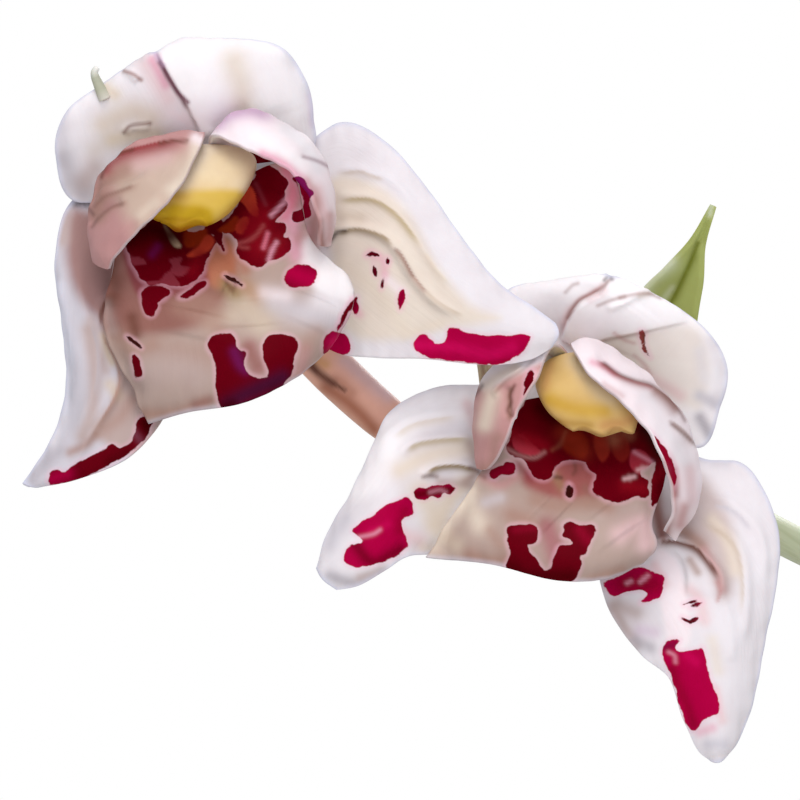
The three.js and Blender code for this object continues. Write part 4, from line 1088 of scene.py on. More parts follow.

# %% Lower lip
# Painted shade on white tissue: the buff ground and the clay, stone and dusk washes darken the lip where it
# turns down from the light.
LOWER_DRAWING["lip"] = {
    "ground": "buff",
    "rim": (0, 0.3, 0.6),
    "folds": [
        ([(15.2, -7.8), (15.2, -8.8)], 0.35, -0.4),
        ([(7, -6.8), (5, -10.1), (2.7, -14.4)], 1.3, -0.8),
        ([(13, -9.4), (14.4, -10.8)], 2.0, -0.3),
        ([(18, -10.1), (19.8, -12.6)], 2.0, 0.3),
    ],
    "areas": [
        ("brick", [(11.2, -6.5), (14.4, -4.5), (18, -6.3), (18, -8.5), (14.4, -9),
            (11.5, -7.9)], 1.2, 0.85),
    ],
    "washes": [
        ("cream", [(2.9, -12.6), (4.1, -10.4), (5.6, -8.6)], 1.3, 0.9),
        ("cream", [(6.3, -9.5), (7.2, -11.2)], 1.0, 0.7),
        ("mist", [(7.7, -9.2), (9, -8.8)], 0.6, 0.5),
        ("sand", [(4, -12.2), (5, -13)], 0.8, 0.7),
        ("clay", [(6.3, -14), (8.1, -14.6), (9.4, -14.4)], 0.8, 0.8),
        ("clay", [(8.1, -11.7), (9, -13)], 0.6, 0.5),
        ("rose", [(7.6, -7), (9, -7.6), (10.3, -7)], 0.5, 0.8),
        ("clay", [(12.2, -9), (14, -9.5), (16.6, -9.2)], 0.8, 0.7),
        ("cream", [(3.2, -11.2), (4.5, -9), (5.8, -7.6)], 0.9, 0.9),
        ("clay", [(5.9, -7.4), (6.7, -6.7)], 0.4, 0.6),
        ("blush", [(19.8, -12.1), (21.8, -11), (22.1, -13)], 1.0, 0.75),
        ("stone", [(18, -10.3), (21.2, -9.7)], 0.7, 0.6),
        ("clay", [(17.1, -16.2), (18.5, -15.7), (20, -15.3)], 0.5, 0.6),
        ("dusk", [(13, -11.2), (14.2, -13)], 0.6, 0.7),
        ("olive", [(13.9, -6.8), (14.6, -7.9)], 0.5, 0.5),
        ("madder", [(10.6, -5.9), (11.7, -6.7)], 0.6, 0.7),
        ("clay", [(17.5, -9.2), (18.7, -9.7)], 0.8, 0.7),
        ("rosewood", [(13.3, -11.5), (14, -14)], 1.0, 0.9),
        ("clay", [(10.1, -10.4), (11.5, -10.8)], 0.8, 0.8),
        ("dusk", [(16.7, -7.9), (17.6, -8.5)], 0.5, 0.7),
    ],
    "lines": [
        ("ink", [(13.9, -6.9), (14.5, -7)], 0.09, 0.9),
        ("umber", [(15.7, -5.6), (15.8, -6.3), (15.6, -6.7)], 0.08, 0.8),
        ("umber", [(5.9, -6.7), (6.5, -6.5), (7.6, -7)], 0.09, 0.5),
    ],
    "marks": [
        [(10.2, -1.3), (11.2, -0.4), (11.4, 0.2), (12.7, 0.7), (13.2, 0), (14.4, -0.9), (15.2, -1.8),
            (17.1, -2.2), (19.3, -2.2), (21.6, -1.8), (22.3, -2.7), (23, -4), (23.6, -5.1), (23, -5.5),
            (22.1, -6.1), (21.6, -6.5), (21.8, -6.9), (22.3, -7.3), (22.2, -7.9), (22.5, -8.4),
            (22.1, -8.8), (21.2, -8.7), (20.5, -9), (19.8, -9.2), (18.7, -9.1), (18, -8.7), (17.3, -8.2),
            (17.4, -7.6), (17.6, -6.7), (16.9, -6.1), (16.7, -5.6), (16, -5.4), (14.9, -5.5),
            (14.4, -5.7), (13.9, -6.1), (13.7, -6.7), (13.3, -7.1), (12.7, -7.2), (12, -6.8), (11.5, -6),
            (11.1, -5.4), (10.3, -5.1), (9.8, -4.7), (9.6, -4.2), (9.9, -3.6), (10, -2.7), (9.9, -1.8)],
        [(15.2, -7.5), (15.6, -8.2), (15.4, -8.9), (14.9, -8.6), (14.9, -8)],
        [(8.1, -6.3), (8.7, -6), (9.3, -5.8), (9.7, -5.5), (10.3, -5.8), (10.3, -6.6), (9.7, -6.7),
            (9, -6.8), (8.5, -7.1), (8.1, -6.9)],
        LOWER_RIGHT_BLOT,
        [(9.7, -12.2), (9.7, -11.5), (10.3, -11.2), (11.7, -11.2), (12.4, -11.7), (12.4, -12.6),
            (11.9, -12.9), (11.4, -13), (11.7, -13.7), (12.3, -14.4), (13, -15.3), (13.5, -15.2),
            (13.7, -14.6), (14, -13.7), (14.4, -13.1), (15.5, -13), (15.3, -12.6), (14.6, -12.3),
            (14.8, -11.7), (14.7, -11.2), (15.3, -10.9), (16.2, -11.2), (17.3, -11.2), (17.6, -11.7),
            (17.1, -12.8), (16.7, -13.8), (16.2, -14.1), (16.3, -14.8), (16, -15.7), (15.3, -16.4),
            (13.5, -16.5), (12.2, -16.2), (10.3, -15.6), (9.5, -14.9), (9.9, -13.9), (9.6, -12.6)],
    ],
    "pigment": "garnet",
    "inside": {
        "washes": [
            ("black_wine", [(12.6, -0.7), (13.7, -1.6), (14.9, -2.3)], 0.7, 0.8),
            ("scarlet", [(10.1, -3.1), (11.5, -3.6), (13, -4.1)], 0.7, 0.9),
            ("vermilion", [(14.6, -2.9), (15.8, -3.6), (16.6, -4.7)], 0.8, 0.3),
            ("vermilion", [(17.6, -2.7), (18, -3.8)], 0.6, 0.25),
            ("rust", [(18.7, -2.3), (19.3, -3.6)], 0.6, 0.8),
            ("rust", [(20, -2.7), (20.7, -3.2)], 0.5, 0.6),
            ("ink", [(22.1, -2.7), (22.9, -3.8), (23.4, -4.7)], 0.7, 0.9),
            ("scarlet", [(20.3, -7.7), (22, -7.9)], 0.7, 0.9),
            ("ruby", [(8.5, -6.7), (9.9, -6.1)], 0.6, 0.9),
            ("scarlet", [(23, -7), (23.9, -6.1)], 0.6, 0.8),
            ("ruby", [(10.4, -11.7), (12.1, -11.5)], 0.4, 0.5),
            ("ruby", [(16.2, -11.7), (16.9, -12.6)], 0.6, 0.8),
            ("black_wine", [(9.9, -15.1), (11.7, -16), (15.3, -16)], 0.8, 0.7),
            ("ink", [(15.2, -7.7), (15.2, -8.7)], 0.5, 1.0),
        ],
        "areas": [
            ("vermilion", [(17.6, -2.7), (18.5, -2.5), (18.9, -4.5), (18.2, -5.6),
                (17.5, -4.3)], 0.3, 0.35),
            ("russet", [(14.8, -2.7), (15.7, -2.5), (16.9, -3.6), (16.6, -5.2), (15.3, -4.9),
                (14.6, -4.1)], 0.5, 0.4),
            ("vermilion", [(19.1, -3.1), (20.2, -3.1), (20.7, -4.7), (20, -5.6), (19.1, -4.7)], 0.3, 0.2),
            ("poppy", [(10.1, -3.4), (11, -3.1), (12, -4), (12.7, -4.7), (11.7, -5),
                (10.4, -4.5)], 0.15, 0.5),
            ("poppy", [(20.9, -4.5), (22.1, -4.7), (22.7, -5.9), (21.6, -6.7), (20.7, -5.9)], 0.2, 0.4),
        ],
        "lines": [
            ("rose", [(9.7, -4.4), (10.8, -5), (12.1, -5.2), (13, -4.7)], 0.16, 0.5),
            ("rust", [(13.7, -4.5), (14.4, -4), (14.9, -2.9)], 0.25, 0.3),
            ("pink", [(21.1, -4.7), (22, -5.2), (22.7, -5.6)], 0.16, 0.6),
            ("blush", [(21.4, -6.3), (22.3, -6.1)], 0.3, 0.7),
            ("blush", [(20.2, -7.1), (21.1, -6.9)], 0.26, 0.7),
        ],
    },
}

# %% Lower left lateral sepal
# Painted light and shade along its ridges: the olive and straw edges and the umber lines are painted shade
# beside them, and the cream edge is painted light.
LOWER_DRAWING["left_lateral_sepal"] = {
    "ground": "pearl",
    "rim": (0.3, 0.6, 1),
    "folds": [
        ([(1.9, -7.2), (2.2, -6.5), (3.1, -6), (4.5, -5.8), (5.8, -5.9), (7.4, -6.5)], 0.45, 0.45),
        ([(-0.4, -5.6), (0.4, -4.5), (1.3, -3.9), (2.7, -3.6), (4.5, -3.4), (6.8, -3.4)], 0.45, 0.35),
        ([(-1.8, -4.5), (-0.4, -2.7), (1.8, -1.6), (4.5, -1.3), (6.8, -1.3)], 0.5, 0.2),
    ],
    "areas": [
        ("milk", [(1.8, 0.7), (-1.8, -1.8), (-3.6, -6.3), (-5, -9), (-1.8, -8.1), (0, -4.5), (3.6, -2.2),
            (7.2, -1.8), (7.2, 0.7)], 1.6, 0.9),
    ],
    "washes": [
        ("cream", [(0, -6.3), (2.7, -5), (6.3, -4.3)], 0.9, 0.8),
        ("stone", [(6.3, -4), (7, -5.6)], 0.6, 0.7),
        ("blush", [(6.1, -0.4), (6.8, -2.2)], 0.6, 0.6),
        ("cream", [(1.8, -8.3), (2.9, -9.9), (3.6, -11.7)], 1.2, 0.8),
        ("cream", [(3.2, -11.2), (4.5, -9), (5.8, -7.6)], 0.9, 0.9),
        ("clay", [(5.9, -7.4), (6.7, -6.7)], 0.4, 0.6),
        ("stone", [(3.6, -7.4), (6.3, -7.6)], 0.5, 0.7),
        ("blush", [(0.4, -12.2), (1.6, -12.6)], 0.8, 0.6),
        ("sand", [(2.2, -13.3), (4.5, -13.5)], 0.7, 0.6),
        ("mist", [(-5, -10.8), (-6.3, -13)], 0.8, 0.7),
        ("slate", [(-6.3, -15.8), (-4, -16.5), (-1.8, -15.7)], 0.6, 0.8),
        ("stone", [(-3.6, -16), (-1.4, -15.3)], 0.5, 0.6),
    ],
    "edges": [
        ("olive", [(2.2, -6.7), (3.2, -6.1), (4.5, -5.9), (5.8, -6), (7.2, -6.6)], 0.38, 0.95),
        ("straw", [(0.4, -4.7), (1.4, -4), (2.7, -3.7), (4.5, -3.5), (6.8, -3.5)], 0.45, 0.75),
        ("cream", [(-0.7, -3.4), (0.9, -2.3), (2.7, -1.8), (5.4, -1.4)], 0.5, 0.6),
    ],
    "lines": [
        ("umber", [(2.1, -6.9), (2.7, -6.8), (3.3, -6.9)], 0.1, 0.8),
        ("umber", [(6.3, -6.1), (7, -6.4), (7.6, -7)], 0.16, 0.8),
    ],
    "marks": [
        [(-4.3, -11.8), (-3.6, -11.1), (-2.2, -10.2), (-0.9, -9.3), (0.3, -8.8), (0.8, -8.8), (1.2, -9.7),
            (1.1, -10.3), (0.2, -10.8), (0.3, -11.7), (0.7, -12.9), (0.4, -13.5), (-0.4, -14.1),
            (-2.2, -14.8), (-3.4, -15), (-4.3, -15), (-5, -14.5), (-4.9, -13.7), (-4.3, -13),
            (-3.4, -12.7)],
        [(1.3, -8.3), (1.8, -7.9), (2.5, -7.9), (3.1, -7.7), (3.8, -7.7), (4.4, -7.6), (5, -8),
            (4.5, -8.5), (4, -8.4), (3.6, -8.8), (2.9, -8.7), (2.2, -9), (1.5, -8.8)],
    ],
    "pigment": "crimson",
    "inside": {
        "washes": [
            ("garnet", [(-4.3, -12.6), (-2.5, -14.6), (0, -13.5)], 0.6, 0.7),
            ("ruby", [(0.4, -10.1), (0, -11.7)], 0.6, 0.6),
            ("garnet", [(1.4, -8.5), (4.7, -8.1)], 0.6, 0.95),
            ("cerise", [(-2.7, -11.9), (-1.1, -11.2)], 0.4, 0.5),
        ],
        "lines": [
            ("pink", [(-4, -12.4), (-2.5, -12.1), (-1.8, -11.7)], 0.14, 0.7),
            ("pink", [(2.7, -8.3), (3.6, -8.1), (4.1, -8.3)], 0.1, 0.6),
        ],
    },
}

# %% Lower right lateral sepal
# Painted shade: the stone area darkens this side of the flower, turned from the light, the umber edge lies
# under the curled margin, and the sand, mist and rose edges lie beside its ridges. The dusk wash by the right
# petal is painted shade in the gap between them.
LOWER_DRAWING["right_lateral_sepal"] = {
    "ground": "pearl",
    "rim": (0.2, 1, 1),
    "folds": [
        ([(22.7, -13.3), (23.8, -12.9), (25.2, -12.9), (26.6, -13.4), (27.4, -14.2), (28.2, -15.1),
            (28.8, -16), (28.9, -17.1), (28.5, -18.2)], 0.45, 0.5),
        ([(27, -10.8), (28.8, -11.5), (30.1, -12.6), (30.8, -14.4), (31, -17.1), (30.8, -19.8),
            (30.4, -22.5)], 0.5, 0.3),
        ([(27.4, -9), (29.2, -9.2), (30.6, -10.1), (31.7, -11.2), (32.4, -12.6), (32.6, -14.4),
            (32.4, -17.1)], 0.5, 0.25),
        ([(29, -18), (29.7, -20.7), (29.5, -23.8)], 0.5, 0.15),
    ],
    "creases": [
        ([(25.6, -18), (25.7, -16.2), (25.4, -15.1), (24.8, -14.2), (23.8, -13.6),
            (22.7, -13.3)], 0.4, 0.45, 2.5),
    ],
    "areas": [
        ("stone", [(24.5, -9), (27, -6.8), (29.7, -10.8), (30.2, -16.2), (29, -18), (27.5, -14.4),
            (25.2, -12.6)], 1.8, 0.7),
        ("shell", [(22.9, -13.5), (24.8, -14.4), (25.7, -17.1), (26.1, -21.6), (24.5, -22.5),
            (23.4, -18)], 0.7, 0.8),
    ],
    "washes": [
        ("mist", [(27, -5.2), (29.2, -5.6)], 0.7, 0.7),
        ("clay", [(24.5, -11.2), (26.1, -12.2), (27, -13)], 0.7, 0.8),
        ("stone", [(19.1, -18.7), (20, -20.2), (21.2, -22)], 0.6, 0.8),
        ("dusk", [(22.9, -8.6), (23.2, -10.4), (23.6, -12.1)], 0.8, 0.95),
        ("cream", [(28.1, -10.8), (29.5, -12.6), (30.2, -15.3)], 0.7, 0.7),
        ("rose", [(27.4, -13.5), (28.6, -15.5), (29, -17.1)], 0.45, 0.7),
        ("stone", [(26.1, -14.4), (26.8, -15.5)], 0.4, 0.9),
        ("blush", [(26.1, -17.1), (27, -18), (27.4, -19.8)], 0.6, 0.6),
        ("blush", [(22.9, -14.9), (23.8, -16.6)], 0.5, 0.6),
        ("stone", [(19.6, -18.5), (21.2, -19.1)], 0.8, 0.7),
        ("slate", [(21.2, -21.6), (22.5, -22.3)], 0.6, 0.7),
        ("mauve", [(21.6, -20.7), (22.9, -20.9)], 0.6, 0.4),
        ("cream", [(28.1, -21.6), (28.6, -24.3)], 0.6, 0.5),
        ("blush", [(28.4, -26.1), (29, -28.8)], 0.5, 0.6),
        ("pink", [(27, -29.9), (28.1, -29.5)], 0.5, 0.6),
        ("mist", [(27.7, -31), (29.2, -31)], 0.6, 0.8),
    ],
    "edges": [
        ("umber", [(22.7, -13.1), (23.8, -12.7), (25.2, -12.8), (26.6, -13.3), (27.4, -14.1),
            (28.3, -15.3), (28.8, -16.6)], 0.45, 0.95),
        ("sand", [(27, -11), (28.6, -11.7), (29.9, -12.8), (30.6, -14.4), (30.9, -17.1),
            (30.7, -19.8)], 0.35, 0.6),
        ("mist", [(28.1, -9.4), (29.5, -9.7), (30.8, -10.6), (31.7, -11.9)], 0.35, 0.7),
        ("rose", [(28.4, -16), (28.9, -17.1), (28.5, -18.5)], 0.3, 0.7),
    ],
    "spots": [
        ([(25.5, -18.4), (26.1, -18.2), (26.8, -18)], 0.13),
        ([(26.1, -18.7), (26.6, -18.5), (27.2, -18.2)], 0.12),
        ([(25.4, -19.6), (26.1, -20), (26.8, -19.6)], 0.18),
    ],
    "marks": [
        [(18.4, -16.4), (19.8, -15.8), (21.6, -15), (22.9, -15.6), (23.8, -15.8), (23.7, -16.6),
            (23.4, -17.7), (21.6, -18.3), (22.3, -17.3), (20.9, -17.2), (19.3, -17.6), (18.6, -17.1)],
        [(23.6, -22.9), (23.7, -22.2), (24.3, -21.6), (25.2, -21.6), (24.8, -22.3), (25.2, -22.6),
            (26.6, -22.5), (27.3, -22.3), (27.6, -23.8), (28.1, -25.4), (28.6, -27), (28.7, -28.1),
            (27.7, -28.6), (27, -29.2), (26.4, -29.8), (25.9, -29.4), (25.2, -27.7), (24.9, -26.4),
            (24.3, -24.5)],
    ],
    "pigment": "crimson",
    "inside": {
        "washes": [
            ("ruby", [(20.2, -16.6), (22.9, -16.7)], 0.9, 0.7),
            ("ruby", [(24.5, -24.3), (25.6, -27), (26.5, -29.2)], 0.5, 0.6),
            ("violet", [(23.8, -22.3), (24.7, -22)], 0.4, 0.5),
            ("cerise", [(25.9, -23), (26.6, -23.6)], 0.5, 0.6),
            ("ink", [(26.1, -18.2), (26.1, -20)], 1.2, 0.9),
        ],
        "lines": [
            ("pink", [(20.4, -16.5), (20.8, -16.3)], 0.2, 0.7),
            ("pink", [(21.6, -16.4), (22.3, -15.8)], 0.24, 0.7),
            ("pink", [(24.2, -22.7), (24.7, -23), (24.8, -23.6)], 0.14, 0.6),
        ],
    },
}
print("Lower flower:", count_strokes(LOWER_DRAWING))

# %% [markdown]
# ## Petal tissue
# A petal is living tissue: a waxy skin over soft, pale cells. It is matt with a faint sheen, light soaks a
# little way into it, and fine veins run from the heart to the tip. A clear shader would look like glass and
# a plain white one like paper, so this one has a little subsurface light under the painted colours. The
# markings come last, with an edge that wanders a little, as pigment does, and a faint pink glow around it.


# %% Petal material
def petal_tissue(name, roughness):
    """Waxy petal skin with painted colours, crisp markings and fine veins."""
    material, tree = start_material(name)
    place = add_node(tree, "TexCoord", output="Object")
    cloud, fleck, wander = (
        add_node(tree, "TexNoise", {"Vector": place, "Scale": 1 / (size_mm * MM), "Detail": 3.0})
        for size_mm in (3, 1.2, 0.9)
    )
    painted = add_node(tree, "Attribute", output="Color", attribute_name="tissue")
    pigment = add_node(tree, "Attribute", output="Color", attribute_name="pigment")
    depth, across, along = (
        add_node(tree, "Attribute", output="Fac", attribute_name=quality)
        for quality in ("mark", "grain_across", "grain_along")
    )
    # Around a marking the skin glows pink over half a millimetre, and the marking's edge strays by 0.08 mm.
    skin = add_node(tree, "Mix", {FACTOR: cloud, UNDER: painted, OVER: colour("#efeaea")}, MIXED, **MULTIPLY)
    glow = add_node(tree, "MapRange", [depth, -0.5, 0.05, 0, 0.35], **SMOOTH)
    rosy = add_node(tree, "Mix", {FACTOR: glow, UNDER: skin, OVER: colour("#eab2c6")}, MIXED, **MIX)
    stray = add_node(tree, "MapRange", [wander, 0.3, 0.7, -0.08, 0.08], **SMOOTH)
    edge = add_node(tree, "Math", [depth, stray], operation="ADD")
    marked = add_node(tree, "MapRange", [edge, -0.06, 0.06], **SMOOTH)
    over = {FACTOR: fleck, UNDER: pigment, OVER: colour("#f2e6ea")}
    mottled = add_node(tree, "Mix", over, MIXED, **MULTIPLY)
    # Veins: noise stretched along the petal, about a third of a millimetre from one to the next.
    grain = add_node(tree, "CombineXYZ", [across, along])
    veins = add_node(tree, "TexNoise", {"Vector": grain, "Scale": 1.0, "Detail": 3.0})
    finish = {
        "Base Color": add_node(tree, "Mix", {FACTOR: marked, UNDER: rosy, OVER: mottled}, MIXED, **MIX),
        "Normal": add_node(tree, "Bump", {"Height": veins, "Strength": 0.3, "Distance": 0.1 * MM}),
        "Roughness": roughness,
        "IOR": 1.4,
        "Specular IOR Level": 0.2,
        "Subsurface Weight": 0.12,
        "Subsurface Radius": (1.0, 0.7, 0.6),
        "Subsurface Scale": 0.4 * MM,
    }
    shader = finish_material(tree, finish)
    # The markings are matt, and the skin between them has the sheen.
    sheen = add_node(tree, "MapRange", [marked, 0, 1, 0.2, 0.02], **SMOOTH)
    tree.links.new(sheen, shader.inputs["Specular IOR Level"])
    return material


sepal_tissue = petal_tissue("waxy_petal_tissue", 0.5)
lip_tissue = petal_tissue("fleshy_lip_tissue", 0.42)


# %% Column and stalk tissue
def painted_skin(name, roughness, cell_mm):
    """Smooth, waxy, fleshy skin with painted colours and tiny cells."""
    material, tree = start_material(name)
    place = add_node(tree, "TexCoord", output="Object")
    cloud, cells = (
        add_node(tree, "TexNoise", {"Vector": place, "Scale": 1 / (size_mm * MM), "Detail": 3.0})
        for size_mm in (2, cell_mm)
    )
    painted = add_node(tree, "Attribute", output="Color", attribute_name="tissue")
    over = {FACTOR: cloud, UNDER: painted, OVER: colour("#eee6e0")}
    finish = {
        "Base Color": add_node(tree, "Mix", over, MIXED, **MULTIPLY),
        "Normal": add_node(tree, "Bump", {"Height": cells, "Strength": 0.2, "Distance": 0.06 * MM}),
        "Roughness": roughness,
        "IOR": 1.42,
        "Specular IOR Level": 0.2,
        "Subsurface Weight": 0.15,
        "Subsurface Radius": (1.0, 0.7, 0.4),
        "Subsurface Scale": 0.6 * MM,
    }
    finish_material(tree, finish)
    return material


column_skin = painted_skin("waxy_column_tissue", 0.45, 0.5)
stalk_skin = painted_skin("smooth_stalk_skin", 0.42, 0.8)
bract_skin = painted_skin("leafy_bract_tissue", 0.5, 0.7)
print("Tissues are ready")

# %% [markdown]
# ## The blooms' nets
# Every net repeats the CAD model's, in millimetres: a row runs from one margin to the other, and the rows
# run from the flower's heart to the tip. Each point is right and up as seen, and forward. A column's rows
# are its middle's place, then its half width and half depth.

# %% Nets of the upper flower
UPPER_BLOOM = {
    "dorsal_sepal": [
        [[-19, 20.6, -3.9], [-17.8, 21.2, -3.9], [-16.6, 20.8, -3.9]],
        [[-28.8, 17.8, -3.8], [-18.2, 22.6, -3.6], [-8.4, 22.2, -4]],
        [[-31, 22.2, -2.2], [-18.7, 24.6, -1.2], [-7.8, 25.6, -2.4]],
        [[-30, 26, -1], [-19.5, 27, 0.8], [-8.6, 29, -1.2]],
        [[-26.8, 28.4, 0], [-20.5, 29.2, 1.8], [-11.2, 32, 0]],
        [[-23.8, 30.4, 0.8], [-21.5, 30.9, 2.2], [-16.8, 32.2, 0.8]],
        [[-22.6, 31, 1.4], [-21.9, 31.3, 2], [-20.6, 31.7, 1.6]],
    ],
    "left_lateral_sepal": [
        [[-20, 20.2, -5.2], [-19.4, 19.2, -5.2], [-18.4, 18.4, -5.2]],
        [[-28.9, 18.4, -4.8], [-24.5, 13, -4], [-18.6, 7.5, -4.4]],
        [[-31, 13, -2.6], [-26.8, 8.8, -0.4], [-19.6, 2.5, -2.4]],
        [[-30.3, 7, -1], [-27.4, 3.9, 1.8], [-20.8, -0.6, 0]],
        [[-29.9, 1.5, 0], [-27.6, -0.6, 2.6], [-22.2, -3, 2]],
        [[-31, -2.9, 0.8], [-28.7, -4, 2.6], [-24.9, -5.5, 2.8]],
        [[-32.6, -5.7, 1.4], [-31.3, -6.4, 2.4], [-29.2, -7.2, 2.6]],
        [[-33.9, -7.6, 1.8], [-33.4, -7.8, 2.1], [-32.6, -7.9, 2.2]],
    ],
    "right_lateral_sepal": [
        [[-17.2, 18.4, -5.2], [-16.2, 19.2, -5.2], [-15.6, 20.2, -5.2]],
        [[-9.5, 7.5, -4.4], [-9, 15, -4.8], [-9, 22.8, -4.8]],
        [[-6, 4.4, -2.4], [-4.2, 15.5, -2.2], [-5, 25, -4]],
        [[-2.2, 3.8, -0.4], [-0.6, 13.2, 0.4], [-1, 23, -2.4]],
        [[2.2, 3.7, 0.8], [3, 10.6, 1.4], [2.7, 18.7, -0.8]],
        [[6, 3.3, 1.4], [5.6, 8.4, 2.2], [5.5, 14.7, 0.4]],
        [[9, 3.2, 1.8], [8.8, 6.8, 2.6], [8.7, 10.7, 1.4]],
        [[11.8, 3.7, 2.2], [12, 5.9, 2.7], [12.1, 8.3, 2.2]],
        [[13.7, 4.8, 2.4], [14.3, 5.9, 2.7], [14, 6.9, 2.5]],
    ],
    "left_petal": [
        [[-19.8, 21, -2.6], [-19.1, 21.6, -2.6], [-18.4, 22, -2.6]],
        [[-21.4, 23.4, 0.8], [-19.6, 23.8, 2.2], [-17.6, 23.8, 3.4]],
        [[-24.4, 22.8, 1.8], [-21.8, 20.8, 5.4], [-19.6, 19.6, 7.6]],
        [[-26.9, 20.4, 1.6], [-24.2, 18.2, 6], [-21.8, 17, 8.4]],
        [[-27.9, 16.8, 1.8], [-25.8, 15.6, 5.6], [-23.9, 15, 8]],
        [[-27.8, 14, 2.2], [-26.9, 13.4, 4.6], [-25.6, 13, 6.6]],
        [[-27.4, 12.4, 3], [-26.9, 12, 4.2], [-26.2, 11.8, 5.2]],
    ],
    "right_petal": [
        [[-17.2, 22, -2.6], [-16.5, 21.6, -2.6], [-15.8, 21, -2.6]],
        [[-16.8, 23.8, 3.4], [-15.4, 24.9, 2.6], [-14, 25.8, 1.2]],
        [[-13.4, 22.4, 6.4], [-12.4, 23.9, 4.6], [-11.2, 25.2, 1.4]],
        [[-10.6, 21.2, 7.4], [-9.4, 22, 4.8], [-7.9, 23, 1.2]],
        [[-8.6, 19.2, 7.2], [-7.5, 19.6, 4.4], [-6.3, 19.8, 0.8]],
        [[-7.3, 16.6, 6.4], [-6.6, 16.6, 4], [-5.9, 16.6, 1]],
        [[-7.2, 13.9, 5], [-6.8, 13.8, 3.6], [-6.4, 13.9, 2.2]],
    ],
    "lip": [
        [[-19.2, 18.8, -1.6], [-18.5, 18.5, -1.6], [-17.8, 18.4, -1.6],
            [-17.1, 18.5, -1.6], [-16.4, 18.8, -1.6]],
        [[-24.6, 16, 2.4], [-21.4, 15.2, -0.4], [-17.6, 14.6, -1.2],
            [-13.4, 18, -0.4], [-10.2, 21.2, 2.2]],
        [[-26, 11, 3.2], [-21.5, 11.2, 2.6], [-16.4, 11, 3], [-11.6, 13.4, 2.4], [-8, 14.4, 1.8]],
        [[-26.9, 7, 3.8], [-21, 7.2, 5.4], [-14.8, 7.4, 6.8], [-9, 9.4, 5.8], [-4.6, 10.9, 3.8]],
        [[-25.6, 3, 4.4], [-20.2, 2.8, 7], [-13.9, 3.6, 8.8], [-8.6, 5.6, 7.6], [-4.4, 8.2, 4.8]],
        [[-22.5, -2.1, 4.6], [-19, -1.1, 7], [-14.2, -0.3, 8.6], [-10, 1.7, 7.6], [-6.6, 4.4, 5.4]],
    ],
    "column": [
        [-17.8, 20.7, -1.7, 2, 1.3],
        [-17.1, 21.4, 0.6, 3.9, 1.7],
        [-17.5, 20.6, 2, 4.4, 2],
        [-18.2, 18.8, 3.5, 4.2, 2.1],
        [-18.9, 17, 4.4, 3.5, 1.8],
        [-19.4, 15.9, 4.8, 2.2, 1],
    ],
}

